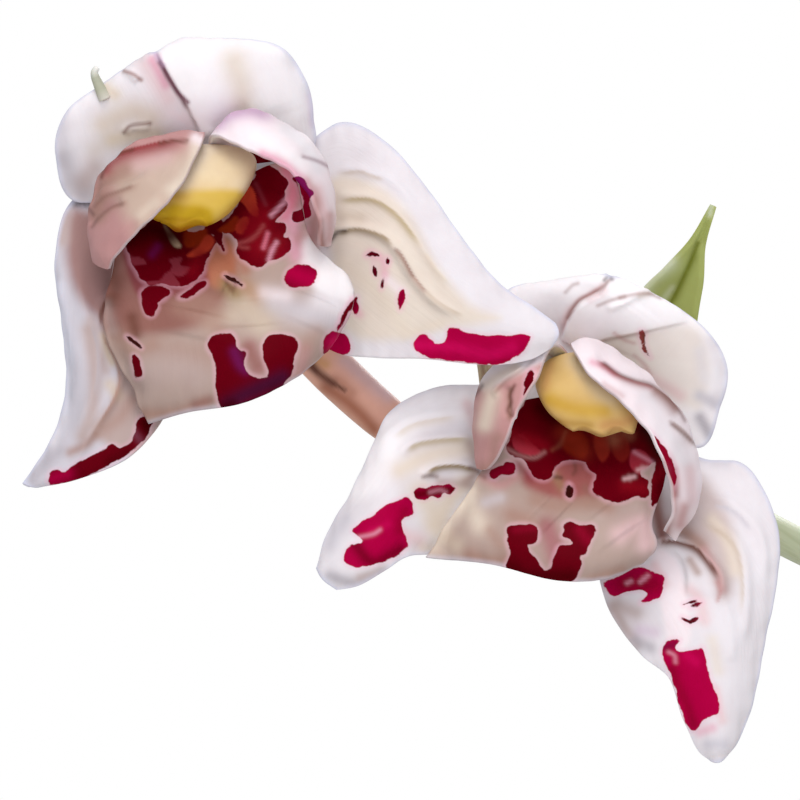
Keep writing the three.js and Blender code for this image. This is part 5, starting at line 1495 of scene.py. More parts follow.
# %% Nets of the lower flower
LOWER_BLOOM = {
    "dorsal_sepal": [
        [[15, 2.6, -3.9], [16.2, 3.2, -3.9], [17.4, 2.6, -3.9]],
        [[9.4, 3.6, -3.8], [15, 5.6, -3.6], [26.4, -4.2, -4]],
        [[8.8, 7, -3.2], [15.2, 7.4, -1.4], [28.9, -0.4, -2.4]],
        [[9.8, 9.9, -2.8], [16.3, 8.9, 0.4], [29.4, 3.2, -1.4]],
        [[13, 10.6, -1.4], [17.5, 10, 1.2], [27.3, 6.6, -0.4]],
        [[16.2, 11, 0.2], [18.3, 10.7, 1.6], [23.2, 9.3, 0.4]],
        [[18.1, 11.1, 1], [18.8, 11.2, 1.5], [19.8, 10.9, 1.2]],
    ],
    "left_lateral_sepal": [
        [[14.2, 2, -5.2], [14.8, 1, -5.2], [15.6, 0.4, -5.2]],
        [[7.6, 1.4, -4.8], [9.4, -4.5, -4.4], [12, -10, -4.8]],
        [[3.2, 1.1, -3.4], [4, -5.4, -1.8], [6.4, -12.6, -3]],
        [[-0.8, -1, -2.2], [0.6, -7.2, 0.6], [3.2, -13.8, -0.8]],
        [[-2.7, -4.8, -1], [-1.2, -9.4, 1.8], [0.6, -14.1, 1]],
        [[-4.5, -8.6, 0], [-3.2, -12, 2.2], [-1.6, -15.5, 2]],
        [[-6.4, -11.8, 0.8], [-5.2, -14.3, 2.2], [-3.7, -16.7, 2.2]],
        [[-7.5, -15.2, 1.4], [-6.9, -16.2, 1.9], [-5.7, -17.1, 2]],
    ],
    "right_lateral_sepal": [
        [[16.8, 0.4, -5.2], [17.6, 1, -5.2], [18.2, 2, -5.2]],
        [[16, -8, -4.8], [21, -7, -4.6], [26.2, -4.8, -4.6]],
        [[17.6, -14.6, -3], [24, -13, -2], [31.2, -6, -3.8]],
        [[18.9, -19, -0.8], [26.6, -17, 1], [34, -11.6, -2]],
        [[21.6, -22.8, 0.6], [28.4, -20.6, 2.2], [33.7, -17.2, -0.8]],
        [[24.2, -25, 1.4], [28.9, -24.3, 2.6], [32.7, -22, 0.2]],
        [[25.4, -28.4, 1.8], [28.8, -28, 2.8], [31.8, -26.8, 1]],
        [[26.8, -31.4, 1.9], [28.8, -31.2, 2.5], [30.5, -30.4, 1.6]],
        [[28, -32.5, 2.1], [28.7, -32.6, 2.3], [29.4, -32.1, 2.1]],
    ],
    "left_petal": [
        [[14.2, 2.6, -2.6], [14.8, 3.2, -2.6], [15.6, 3.6, -2.6]],
        [[11.4, 4.6, 0.6], [12.6, 4.8, 2], [13.8, 5, 3]],
        [[9, 3.4, 1.2], [10.6, 2.6, 4], [12.2, 1.8, 6]],
        [[7.3, 1.4, 0.8], [9, 0.4, 4.2], [10.7, -0.6, 6.6]],
        [[6.7, -1.6, 1], [8.2, -2.4, 4.4], [9.7, -3, 6.8]],
        [[6.8, -4.4, 1.6], [7.8, -4.7, 3.9], [8.9, -4.9, 5.7]],
        [[7, -6.2, 2.9], [7.4, -6.3, 3.6], [7.9, -6.2, 4.3]],
    ],
    "right_petal": [
        [[16.8, 3.6, -2.6], [17.6, 3.2, -2.6], [18.2, 2.6, -2.6]],
        [[15.4, 5, 3.4], [16.6, 5.2, 2.8], [18, 5, 1.2]],
        [[17, 2.4, 6.8], [18.4, 3.2, 5.4], [20, 3.9, 2]],
        [[19.9, -0.2, 7.2], [21.4, 0.6, 5], [22.9, 1.7, 1.6]],
        [[22.3, -2.7, 7.2], [23.8, -2.2, 4.8], [25.3, -1.2, 1]],
        [[24, -6.2, 6.8], [25.4, -6, 4.4], [26.8, -5.6, 0.8]],
        [[24.6, -9.6, 5.8], [25.6, -9.6, 3.8], [26.7, -9.4, 0.8]],
        [[23.9, -11.9, 4.2], [24.3, -12.2, 3.2], [24.6, -12.6, 2]],
    ],
    "lip": [
        [[14.8, 0.6, -1.6], [15.5, 0.3, -1.6], [16.2, 0.2, -1.6], [16.9, 0.3, -1.6], [17.6, 0.6, -1.6]],
        [[10, -0.6, 0.6], [12.6, -2.4, -0.6], [16.3, -3.9, -1.2], [20.6, -3.6, 0], [24, -2.8, 2.4]],
        [[8.4, -4.9, 1.8], [11.8, -6.3, 2], [15.7, -7.6, 3], [20.2, -7.8, 2.6], [23.8, -7.2, 2.2]],
        [[5.8, -8.4, 3.4], [10.4, -9.6, 5.2], [15.2, -10.6, 6.4], [19.6, -11, 5.8], [22.6, -10.8, 3.6]],
        [[3.6, -11.6, 4], [8.8, -12.6, 6.4], [14.6, -13.7, 8], [19.4, -13.8, 7.2], [23, -13.1, 4.6]],
        [[2.4, -14.2, 4], [8.2, -14.8, 6.4], [13.9, -16.2, 7.8], [18.2, -16.1, 7.2], [21.8, -14.7, 5]],
    ],
    "column": [
        [16.2, 2.5, -1.7, 2, 1.4],
        [16.1, 2.7, 0.2, 3, 1.7],
        [16.3, 2, 1.9, 4.1, 1.9],
        [16.9, 0.5, 3.3, 4.4, 2],
        [17.6, -1.2, 4.1, 4.1, 1.6],
        [18.2, -2.6, 4.4, 2.8, 1],
    ],
}
print("Nets:", {part: len(rows) for part, rows in LOWER_BLOOM.items()})

# %% Follow a path
TUBE_END = 0.01


def follow(path, share, samples=400):
    """Places at shares of a smooth path's length, with its direction and two ways across it."""
    fine = smooth_through(path, np.linspace(0, 1, samples))
    steps = np.linalg.norm(np.diff(fine, axis=0), axis=1)
    length = np.concatenate([[0], np.cumsum(steps)])
    way = np.gradient(fine, axis=0)
    way /= np.linalg.norm(way, axis=1, keepdims=True)
    first = np.cross(way[0], [0.0, 1.0, 0.0])
    across = [first / np.linalg.norm(first)]
    for direction in way[1:]:
        turned = across[-1] - direction * across[-1].dot(direction)
        across.append(turned / np.linalg.norm(turned))
    across = np.array(across)
    other = np.cross(way, across)
    at = share * length[-1]
    columns = [fine, way, across, other]
    return [np.stack([np.interp(at, length, c[:, k]) for k in range(3)], axis=1) for c in columns]


def ring(middle, across, other, radius, angle):
    """Points round places on a path, at a radius and an angle."""
    return middle + across * (radius * np.cos(angle))[:, None] + other * (radius * np.sin(angle))[:, None]


def tube_points(path, radii, u, v, ribs=0, rib_depth=0.0, twist=0.0):
    """Points round a path: radii are its radius at even steps, and ribs flute it. Its ends are rounded."""
    middle, _, across, other = follow(path, v)
    angle = 2 * np.pi * u
    close = [np.sqrt(1 - (1 - soft_step(share / TUBE_END)) ** 2) for share in (v, 1 - v)]
    radius = evenly(radii, v) * (1 + rib_depth * np.cos(ribs * angle + twist * v))
    return ring(middle, across, other, radius * np.maximum(0.4, close[0] * close[1]), angle)


# %% Surfaces
def net_surface(net, forward):
    """The smooth surface through a net, as a function of arrays of shares across and along."""
    rows = from_seen(np.array(net, float) + [0, 0, forward])

    def surface(u, v):
        rails = [smooth_through(rows[:, column], v) for column in range(rows.shape[1])]
        return smooth_through(np.stack(rails), u)

    return surface


def directions(surface, u, v, step=1e-3):
    """The surface's widths and lengths at arrays of shares, and its normal, towards the viewer."""
    ahead_u, behind_u = np.minimum(1, u + step), np.maximum(0, u - step)
    ahead_v, behind_v = np.minimum(1, v + step), np.maximum(0, v - step)
    across = (surface(ahead_u, v) - surface(behind_u, v)) / (ahead_u - behind_u)[:, None]
    along = (surface(u, ahead_v) - surface(u, behind_v)) / (ahead_v - behind_v)[:, None]
    normal = np.cross(across, along)
    normal /= np.linalg.norm(normal, axis=1, keepdims=True)
    if normal[:, 1].mean() > 0:
        normal = -normal
    return np.linalg.norm(across, axis=1), np.linalg.norm(along, axis=1), normal


# %% The backs
BACK_VEINS = 11


def back_colours(u, v):
    """A sepal's back: pearl, greener at its base, with a rosy midrib and fine veins."""
    rib = bell(u - 0.5, 0.05) * (1 - v)
    veins = np.maximum(0, np.cos(2 * np.pi * BACK_VEINS * u)) ** 6 * (1 - v)
    painted = np.tile(PALETTE["pearl"], (len(u), 1))
    layers = (("pale_leaf", 0.7 * soft_step(1 - v / 0.3)), ("blush", 0.45 * veins), ("rose", 0.5 * rib))
    for name, weight in layers:
        painted += weight[:, None] * (PALETTE[name] - painted)
    return painted


# %% The green point on the upper flower's hood
POINT_STEPS = (14, 30)
POINT_RADII = (0.6, 0.5, 0.4, 0.25)
POINT_PATH = [(-26.5, 27, 3.4), (-27.1, 28.3, 3.6), (-27.5, 29.4, 3.7), (-27.2, 30, 3.7)]
# Its colours from root to tip; the last, near white, is a painted highlight on the hooked tip.
POINT_SHADES = np.array([colour(shade) for shade in ("#d8d5ca", "#b9bca6", "#b4b8a4", "#f4f6f2")])


def with_point(bm, points, qualities):
    """Adds a small hooked stalk to a petal's bmesh, and its places and colours to the petal's own."""
    u, v = flat_sheet(bm, *POINT_STEPS)
    stalk = tube_points(from_spray(POINT_PATH), POINT_RADII, u, v)
    shades = np.stack([evenly(channel, v) for channel in POINT_SHADES.T], axis=1)
    extended = {}
    for name, values in qualities.items():
        plain = np.full(len(u), -FARTHEST if name == "mark" else 0.0)
        extended[name] = np.concatenate([values, shades if np.ndim(values) == 2 else plain])
    return np.concatenate([points, stalk]), extended


# %% Bend a petal
TEPAL = 0.95
THIN_RIM = 0.35
RIM_FADE = 2.4
RIM_WIDTH = 0.6
RIM_TINT = colour("#d3d7ea")
RIPPLE = 0.08
RIPPLE_REACH = 2.5
SEAT = 0.08
VEIN_SPACING = 0.35
VEIN_LENGTH = 4.0


def blade(thickness, rim):
    """Half a blade's thickness: rim is 0 at its thin rim and 1 where it is full."""
    return thickness / 2 * (THIN_RIM + (1 - THIN_RIM) * rim)


def add_petal(node, net, forward, drawing, size, material, pointed):
    """One sepal, petal or lip: a slab bent onto its net, with drawn relief, a thin rim and its colours."""
    bm, u, v, side = flat_slab(*size)
    surface = net_surface(net, forward)
    middle = surface(u, v)
    wide, long, normal = directions(surface, u, v)
    margins = [u * wide, (1 - u) * wide, (1 - v) * long]
    margin = np.min(margins, axis=0)
    x, y = as_seen(middle)
    ripple = RIPPLE * np.sin(1.9 * x + 1.3 * y) * np.sin(1.1 * y - 2.3 * x)
    lift = relief(x, y, drawing) + ripple * soft_step(1 - margin / RIPPLE_REACH)
    half = blade(TEPAL, np.sqrt(soft_step(0.06 + margin / RIM_FADE)))
    bent = middle + normal * (lift * soft_step(v / SEAT) + side * half)[:, None]
    qualities = qualities_from(*as_seen(bent), side, drawing)
    painted = (side > 0)[:, None] | drawing.get("through", False)
    qualities["tissue"] = np.where(painted, qualities["tissue"], back_colours(u, v))
    for strength, distance in zip(drawing.get("rim", (1, 1, 1)), margins):
        pale = 0.7 * strength * (1 - soft_step(distance / RIM_WIDTH))
        qualities["tissue"] += pale[:, None] * (RIM_TINT - qualities["tissue"])
    qualities["grain_across"] = (u - 0.5) * wide / VEIN_SPACING
    qualities["grain_along"] = v * long / VEIN_LENGTH
    points = on_plant(bent)
    if pointed:
        points, qualities = with_point(bm, points, qualities)
    add_piece(bm, points, node, material, qualities)


# %% Make the petals
UPPER_FORWARD = 3
# Each petal's steps across and along: enough of them to hold the thinnest strokes.
PETAL_STEPS = {
    "dorsal_sepal": (150, 110),
    "left_lateral_sepal": (100, 150),
    "right_lateral_sepal": (100, 170),
    "left_petal": (100, 96),
    "right_petal": (100, 96),
    "lip": (130, 120),
}
BLOOMS = {
    "upper": (UPPER_BLOOM, UPPER_DRAWING, UPPER_FORWARD),
    "lower": (LOWER_BLOOM, LOWER_DRAWING, 0),
}
for which, (nets, drawings, forward) in BLOOMS.items():
    for part, steps in PETAL_STEPS.items():
        slot, tissue = ("lip", lip_tissue) if part == "lip" else ("tepal", sepal_tissue)
        pointed = (which, part) == ("upper", "dorsal_sepal")
        add_petal(f"{which}_{part}", nets[part], forward, drawings[part], steps, tissue, pointed)

# %% [markdown]
# ## The column
# The column is the flower's waxy, golden middle: a thick hood over the lip. It could be two petals' worth of
# net, but a tube with its own width and depth at each place is simpler. Its front is a little flattened, its
# end is rounded over, and its lower margin is gently lobed.

# %% Column
COLUMN_STEPS = (72, 84)
COLUMN_END = 0.94
COLUMN_DEPTH = 0.95
FLATTENED = 0.75
LOBE_WAVE = 2.1
# Both columns are pale at the top and deepen to gold, ochre and amber towards the lower edge: partly their
# own colour and partly painted shade under the rounded end.
UPPER_COLUMN = {
    "areas": [
        ("honey", [(-22.5, 19.1), (-18, 19.8), (-14.8, 18.9), (-14.8, 13.5), (-23.4, 13.5)], 1.8, 0.4),
        ("yellow", [(-22.5, 18.6), (-18, 18.9), (-13.5, 18.4), (-13.5, 13.5), (-23.4, 13.5)], 0.9, 1.0),
        ("ochre", [(-22.5, 17.5), (-19.3, 17.6), (-17.6, 17.4), (-16.8, 16.6), (-17.1, 13.5),
            (-23.4, 13.5)], 0.9, 1.0),
        ("amber", [(-22.5, 16.3), (-19.3, 16.4), (-17.1, 15.9), (-16.7, 13.5), (-23.4, 13.5)], 0.5, 0.5),
    ],
    "washes": [
        ("cream", [(-17.3, 22.9), (-18.7, 21.2), (-19.8, 19.4)], 0.9, 0.8),
        ("sand", [(-20.5, 19.3), (-21.2, 18)], 0.5, 0.6),
        ("gold", [(-21.1, 18.4), (-19.3, 18.3)], 0.5, 0.7),
        ("russet", [(-20.5, 15.3), (-19.1, 15.1), (-17.6, 15.3)], 0.3, 0.6),
    ],
}
LOWER_COLUMN = {
    "washes": [
        ("ivory", [(15.8, 3.6), (17.5, 1.6), (18.9, 0)], 0.9, 0.9),
        ("tan", [(13.5, 3.1), (13, 1.1)], 0.5, 0.6),
        ("gold", [(13.5, 0), (15.8, -0.8), (18.4, -1)], 0.8, 1.0),
        ("amber", [(14.4, -2), (17.1, -2.3)], 0.4, 0.5),
        ("tan", [(18.4, -2.3), (19.8, -2.1), (20.9, -1.7)], 0.6, 0.8),
    ],
}


def add_column(node, rows, forward, ground, drawing):
    """A column through rows of [right, up, front, half width, half depth], lobed at its end."""
    bm = bmesh.new()
    u, v = flat_sheet(bm, *COLUMN_STEPS)
    rows = np.array(rows, float)
    centres = from_seen(rows[:, :3] + [0, 0, forward])
    place = np.minimum(v / COLUMN_END, 1)
    middle, way = curve_and_way(centres, place)
    wide_way = np.array([1.0, 0, 0])
    deep_way = np.cross(way, wide_way)
    sizes = smooth_through(np.c_[rows[:, 3:], 0 * rows[:, 3]], place)
    past = np.maximum(0, (v - COLUMN_END) / (1 - COLUMN_END))
    shrink = np.sqrt(np.maximum(0, 1 - past**2))
    angle = 2 * np.pi * u
    flattened = np.sign(np.sin(angle)) * np.abs(np.sin(angle)) ** FLATTENED
    wide = sizes[:, 0] * shrink * np.cos(angle)
    deep = COLUMN_DEPTH * sizes[:, 1] * shrink * flattened
    points = middle + wide_way * wide[:, None] + deep_way * deep[:, None]
    lobes = 0.5 * past + 0.3 * np.cos(LOBE_WAVE * wide + 0.6) * soft_step((v - 0.6) / 0.4)
    points = on_plant(points + way * lobes[:, None])
    tissue = paint(*seen_on_plant(points), ground, drawing)
    add_piece(bm, points, node, column_skin, {"tissue": tissue})


add_column("upper_column", UPPER_BLOOM["column"], UPPER_FORWARD, "ivory", UPPER_COLUMN)
add_column("lower_column", LOWER_BLOOM["column"], 0, "honey", LOWER_COLUMN)

# %% [markdown]
# ## Stalks, stem and bracts
# A stalk is a round tube, and the stem a slightly ribbed one. A curve object with a bevel would do, but it
# can't carry ribs, so a grid is rolled round the path instead.


# %% Streaked green skins
def streaked_skin(name, shades, streak, reach, relief, finish):
    """Living green skin whose colour changes along it, with fine streaks.
    shades are colours at shares along it. reach is the noise's low and high and how much streak that gives.
    relief is the bump's strength and depth in millimetres."""
    material, tree = start_material(name)
    along, streak_round, streak_along = (
        add_node(tree, "Attribute", output="Fac", attribute_name=quality)
        for quality in ("along", "streak_round", "streak_along")
    )
    ramp = add_node(tree, "ValToRGB", {"Fac": along}, None)
    ramp.color_ramp.elements[0].color = colour(shades[0][1])
    ramp.color_ramp.elements[1].color = colour(shades[-1][1])
    for at, hex_value in shades[1:-1]:
        ramp.color_ramp.elements.new(at).color = colour(hex_value)
    spread = add_node(tree, "CombineXYZ", [streak_round, streak_along])
    streaks = add_node(tree, "TexNoise", {"Vector": spread, "Scale": 1.0, "Detail": 3.0})
    low, high, most = reach
    amount = add_node(tree, "MapRange", [streaks, low, high, 0, most])
    over = {FACTOR: amount, UNDER: ramp.outputs[0], OVER: colour(streak)}
    bump = {"Height": streaks, "Strength": relief[0], "Distance": relief[1] * MM}
    surface = {
        "Base Color": add_node(tree, "Mix", over, MIXED, **MIX),
        "Normal": add_node(tree, "Bump", bump),
    }
    finish_material(tree, {**finish, **surface})
    return material


# %% Stem skin
STEM_FINISH = {
    "Roughness": 0.45,
    "IOR": 1.42,
    "Subsurface Weight": 0.15,
    "Subsurface Radius": (1.0, 0.5, 0.3),
    "Subsurface Scale": 0.6 * MM,
}


def stem_skin(name, lower, upper, streak):
    """Smooth skin that changes evenly from its lower colour to its upper one."""
    return streaked_skin(name, [(0, lower), (1, upper)], streak, (0.45, 0.75, 0.6), (0.3, 0.1), STEM_FINISH)


stem_green = stem_skin("flower_stem_skin", "#74894a", "#cfd4b4", "#a9b184")
sheath_skin = stem_skin("papery_sheath_skin", "#9aa866", "#c8b890", "#a8885a")
bulb_skin = stem_skin("dry_wrapped_bulb_skin", "#9c8455", "#7f9448", "#6b5233")
print("Stem skins are ready")

# %% Stalks
STREAKS_ROUND = 9
STREAK_LENGTH = 6
# The umber washes and the ink and umber lines where the upper stalk meets the lip are partly a dark notch in
# its skin and partly painted shade under the lip.
UPPER_STALK = {
    "washes": [
        ("tan", [(-7.9, 3.8), (-6.7, 3.2)], 0.6, 0.7),
        ("blush", [(-4.9, 3.6), (-3.1, 2), (-1.1, 0.4)], 0.8, 0.9),
        ("rust", [(-6.7, 1.1), (-5, 0), (-3.4, -1.4), (-2.3, -2.7)], 0.7, 0.85),
        ("rust", [(-5.8, 2), (-4.3, 0.7)], 0.5, 0.4),
        ("umber", [(-8.5, 3.4), (-7.4, 2.3), (-6.1, 1.4)], 0.4, 0.7),
        ("umber", [(-7.9, 3.4), (-7, 2.5), (-5.9, 1.6)], 0.3, 0.45),
    ],
    "lines": [
        ("ink", [(-8.5, 3.7), (-8, 3.2), (-7.5, 2.6)], 0.3, 0.75),
        ("umber", [(-8.6, 3.6), (-7.4, 2.5), (-6.3, 1.7), (-5, 0.9)], 0.2, 0.9),
    ],
}
UPPER_PATH = [[8.3, -5.4, -13.3], [5.4, -5.4, -12.6], [2.4, -4.1, -12.2], [-1, -1.9, -11.4],
    [-5.9, 2.5, -9.8], [-11.5, 8.4, -7.8], [-16, 14.6, -6.6], [-17.6, 18.8, -5.6], [-17.8, 19.7, -3.2]]
LOWER_PATH = [[19.8, -5.2, -18.4], [20.4, -2.2, -15.6], [18.8, -0.4, -12.5], [17, 1.1, -9.4],
    [16.3, 1.8, -6.3]]
# Each stalk with its ovary: its path, its radii at even steps, its steps and its strokes.
OVARIES = {
    "upper_ovary": (UPPER_PATH, [1.6, 1.8, 2.1, 2.2, 2.1, 2, 1.8, 1.7], (60, 140), UPPER_STALK),
    "lower_ovary": (LOWER_PATH, [1.6, 1.7, 1.9, 2, 1.8], (48, 60), {}),
}


def add_tube(node, path, radii, steps, material, ribs=(0, 0.0, 0.0), painting=None):
    """A round stem along a path of points of the plant, in millimetres. ribs are their number, depth and
    twist, and painting is a ground and a drawing for its front."""
    bm = bmesh.new()
    u, v = flat_sheet(bm, *steps)
    points = tube_points(path, radii, u, v, *ribs)
    run = np.linalg.norm(np.diff(path, axis=0), axis=1).sum()
    qualities = {
        "along": v,
        "streak_round": STREAKS_ROUND * np.sin(2 * np.pi * u),
        "streak_along": v * run / STREAK_LENGTH + 3 * np.cos(2 * np.pi * u),
    }
    if painting:
        back = PALETTE[painting[0]]
        out = points - tube_points(path, [0] * len(radii), u, v)
        front = soft_step(0.5 - out[:, 1] / max(radii))[:, None]
        qualities["tissue"] = back + front * (paint(*seen_on_plant(points), *painting) - back)
    add_piece(bm, points, node, material, qualities)


for node, (seen_path, radii, steps, drawing) in OVARIES.items():
    add_tube(node, from_spray(seen_path), radii, steps, stalk_skin, painting=("coral", drawing))

# %% Stem
STEM_RADII = [2.4, 2.2, 2, 1.9, 1.8, 1.75, 1.7, 1.6]
STEM_FOOT = [[9, -37.5, 99], [12.5, -36.5, 160], [20, -30, 225], [27, -21.5, 280], [28.5, -15, 309],
    [25, -12.5, 327]]
STEM_TOP = [[41, -15.6, -49.5], [36.5, -13.4, -44], [31, -10.6, -35], [25, -7.4, -25], [19, -5.4, -18],
    [13, -5.3, -14.6], [8.6, -5.4, -13.4]]
stem_path = np.concatenate([STEM_FOOT, from_spray(STEM_TOP)])
add_tube("scape", stem_path, STEM_RADII, (28, 300), stem_green, (5, 0.02, 3.0))

# %% Sheaths
# Each sheath: the shares of the stem that it clasps, and the angle at which it opens.
SHEATHS = [(0.1, 0.25, 40), (0.33, 0.46, 220), (0.55, 0.66, 100)]
SHEATH_THICKNESS = 0.7
SHEATH_NERVES = 9
CLASP = (150, 40)
for number, (start, end, opening) in enumerate(SHEATHS, 1):
    bm, u, v, side = flat_slab(40, 60)
    share = start + (end - start) * v
    middle, _, across, other = follow(stem_path, share)
    wrap = CLASP[0] + (CLASP[1] - CLASP[0]) * v**2
    angle = np.radians(opening + (2 * u - 1) * wrap)
    rim = soft_step(np.minimum(np.minimum(u, 1 - u), 1 - v) / 0.05)
    nerve = 0.08 * np.cos(2 * np.pi * SHEATH_NERVES * u)
    radius = evenly(STEM_RADII, share) + 0.8 + 0.9 * v**2 + nerve + side * blade(SHEATH_THICKNESS, rim)
    qualities = {"along": v, "streak_round": 12 * u, "streak_along": 3 * v}
    points = ring(middle, across, other, radius, angle)
    add_piece(bm, points, f"scape_sheath_{number}", sheath_skin, qualities)

# %% Bracts
BRACT_FOLD = 0.45
BRACT_THICKNESS = 0.7
# Each bract: its middle line, its half widths at even steps, its ground colour and its strokes.
BRACTS = {
    "upper_bract": (
        [[9.4, -4.4, -14.6], [8.5, -0.5, -14.2], [7.8, 2.5, -13.6], [7.2, 6, -13], [6.9, 9, -12.6]],
        [1.3, 1.3, 0.9, 0.7, 0.35],
        "drab",
        {
            "lines": [
                ("umber", [(7.4, 3.1), (7.5, 2.2), (7.4, 1.1)], 0.2, 0.5),
            ],
        },
    ),
    "lower_bract": (
        [[21.6, -5.4, -20.2], [22.4, 2.5, -16.4], [23.8, 7.5, -13.8], [25.5, 11.1, -12.4],
            [26.8, 14.2, -11.8], [28.2, 17.5, -11.4]],
        [1.9, 3.2, 3.6, 2.3, 0.9, 0.35],
        "leaf",
        {
            "washes": [
                ("pale_leaf", [(21.4, 9.7), (22.5, 11.2), (24.1, 12.4)], 0.9, 0.9),
                ("pale_leaf", [(23.8, 9.2), (24.5, 10.1)], 0.3, 0.5),
                ("moss", [(27.7, 16), (27.4, 14.4)], 0.3, 0.3),
                ("pale_leaf", [(28, 17.5), (27.9, 16.7)], 0.3, 0.7),
            ],
            # The moss edge and line along the fold are painted shade in it.
            "edges": [
                ("moss", [(24.1, 8.3), (24.8, 9.6), (25.5, 11.1), (26.1, 12.4), (26.8, 14)], 0.5, 0.7),
            ],
            "lines": [
                ("moss", [(24.1, 8.3), (24.8, 9.6), (25.5, 11.1), (26.1, 12.4), (26.8, 14.1)], 0.16, 0.9),
            ],
        },
    ),
}


def add_bract(node, path, half_widths, ground, drawing):
    """A pointed leafy bract, folded along its middle, with a furrow there that its drawing darkens."""
    bm, u, v, side = flat_slab(28, 70)
    middle, way = curve_and_way(from_spray(path), v)
    across = np.cross(way, [0.0, -1.0, 0.0])
    across /= np.linalg.norm(across, axis=1, keepdims=True)
    lifted = np.cross(across, way)
    s = 2 * u - 1
    half = smooth_through(np.array([half_widths, half_widths, half_widths]).T, v)[:, 0]
    rim = soft_step((1 - np.abs(s)) * half / 0.6)
    height = half * np.sqrt(s**2 + 0.004) * math.sin(BRACT_FOLD) - 0.12 * bell(s * half, 0.25)
    height += side * blade(BRACT_THICKNESS, rim)
    points = middle + across * (half * s * math.cos(BRACT_FOLD))[:, None] + lifted * height[:, None]
    tissue = paint(*seen_on_plant(points), ground, drawing)
    add_piece(bm, points, node, bract_skin, {"tissue": tissue})


for node, facts in BRACTS.items():
    add_bract(node, *facts)

# %% [markdown]
# ## Leaves
# A cymbidium's leaf is a long, narrow, folded strap of tough green tissue. It bends over evenly, so its
# middle line is worked out step by step from the tilt at its root and at its tip, as in the CAD model.
# Parallel nerves run its whole length: they are drawn as low ribs, coarser than life so that they show.

# %% Leaf tissue
LEAF_SHADES = [(0, "#b7b77c"), (0.08, "#7d9350"), (0.25, "#446f30"), (0.85, "#3b662c"), (0.97, "#6f7f3a"),
    (1, "#8a6a3c")]
LEAF_FINISH = {
    "Roughness": 0.4,
    "IOR": 1.45,
    "Subsurface Weight": 0.08,
    "Subsurface Radius": (0.4, 1.0, 0.2),
    "Subsurface Scale": 0.5 * MM,
}
leaf_tissue = streaked_skin(
    "tough_strap_leaf_tissue", LEAF_SHADES, "#7f9a52", (0.4, 0.8, 0.55), (0.25, 0.15), LEAF_FINISH
)
print("Leaf tissue is ready")

# %% Pseudobulbs and fans, as in the CAD model
MIX_TOP = 108
BULB_SUNK = 6
LEAF_THICKNESS = 0.9
LEAF_HALF_WIDTH = 4.3
# Each bulb: its place, radius, height, and the turn of its fan towards the back, in degrees.
BULBS = [((1, -22), 8, 18, -26), ((-4, -3), 9.5, 22, -5), ((3, 17), 9, 21, 17), ((-3, 36), 7.5, 17, 40)]
# Each leaf: its way (1 right, -1 left), rank from the inside, length, lean, droop and sideways turn.
FANS = [
    [
        (1, 0, 186, 10, 94, -14),
        (-1, 0, 178, 14, 98, 16),
        (1, 1, 212, 22, 108, -10),
        (-1, 1, 206, 27, 108, 12),
    ],
    [
        (1, 0, 256, 7, 86, -9),
        (-1, 0, 244, 12, 92, 11),
        (1, 1, 284, 17, 102, -7),
        (-1, 1, 290, 22, 106, 9),
        (1, 2, 238, 31, 118, 6),
    ],
    [
        (-1, 0, 246, 10, 88, -10),
        (1, 0, 264, 6, 84, 9),
        (-1, 1, 280, 20, 102, -8),
        (1, 1, 292, 18, 102, 7),
        (-1, 2, 234, 33, 118, 6),
    ],
    [(1, 0, 226, 9, 88, 12), (-1, 0, 222, 12, 90, -12), (1, 1, 248, 20, 102, 10), (-1, 1, 252, 24, 102, -10)],
]

# %% Make the leaves
LEAF_STEPS = (12, 90)
LEAF_MOVES = 60
BEND_LATE = 1.15
FOLDED, OPENED = 1, 0.3
NERVES = 6


def heading_and_tilt(azimuth, lean, droop, turn, share):
    """Where a leaf points at shares along it: its heading and its tilt from upright, in radians."""
    tilt = np.radians(lean + (droop - lean) * share**BEND_LATE)
    return np.radians(azimuth + turn * share**2), tilt


def add_leaf(node, root, azimuth, length, lean, droop, turn):
    """A folded strap that bends from lean at its root to droop at its tip, in degrees from upright."""
    bm, u, v, side = flat_slab(*LEAF_STEPS)
    moves_at = (np.arange(LEAF_MOVES) + 0.5) / LEAF_MOVES
    heading, tilt = heading_and_tilt(azimuth, lean, droop, turn, moves_at)
    moves = np.stack([np.sin(tilt) * np.cos(heading), np.sin(tilt) * np.sin(heading), np.cos(tilt)], axis=1)
    centres = np.concatenate([[root], root + np.cumsum(moves, axis=0) * length / LEAF_MOVES])
    middle = smooth_through(centres, v)
    heading, tilt = heading_and_tilt(azimuth, lean, droop, turn, v)
    across = np.stack([-np.sin(heading), np.cos(heading), 0 * v], axis=1)
    inward = np.stack(
        [-np.cos(heading) * np.cos(tilt), -np.sin(heading) * np.cos(tilt), np.sin(tilt)], axis=1
    )
    s = 2 * u - 1
    fold = FOLDED + (OPENED - FOLDED) * np.minimum(1, 2.5 * v)
    half = LEAF_HALF_WIDTH * np.minimum(1, 0.55 + 3 * v) * np.minimum(1, ((1 - v) / 0.42) ** 0.75 + 0.08)
    rim = soft_step((1 - np.abs(s)) * half / 0.8)
    height = half * np.sqrt(s**2 + 0.003) * np.sin(fold) + 0.06 * np.cos(NERVES * np.pi * s) * rim
    height += side * blade(LEAF_THICKNESS, rim)
    points = middle + across * (half * s * np.cos(fold))[:, None] + inward * height[:, None]
    qualities = {"along": v, "streak_round": 8 * s, "streak_along": v * length / 25 + root[0]}
    add_piece(bm, points, node, leaf_tissue, qualities)


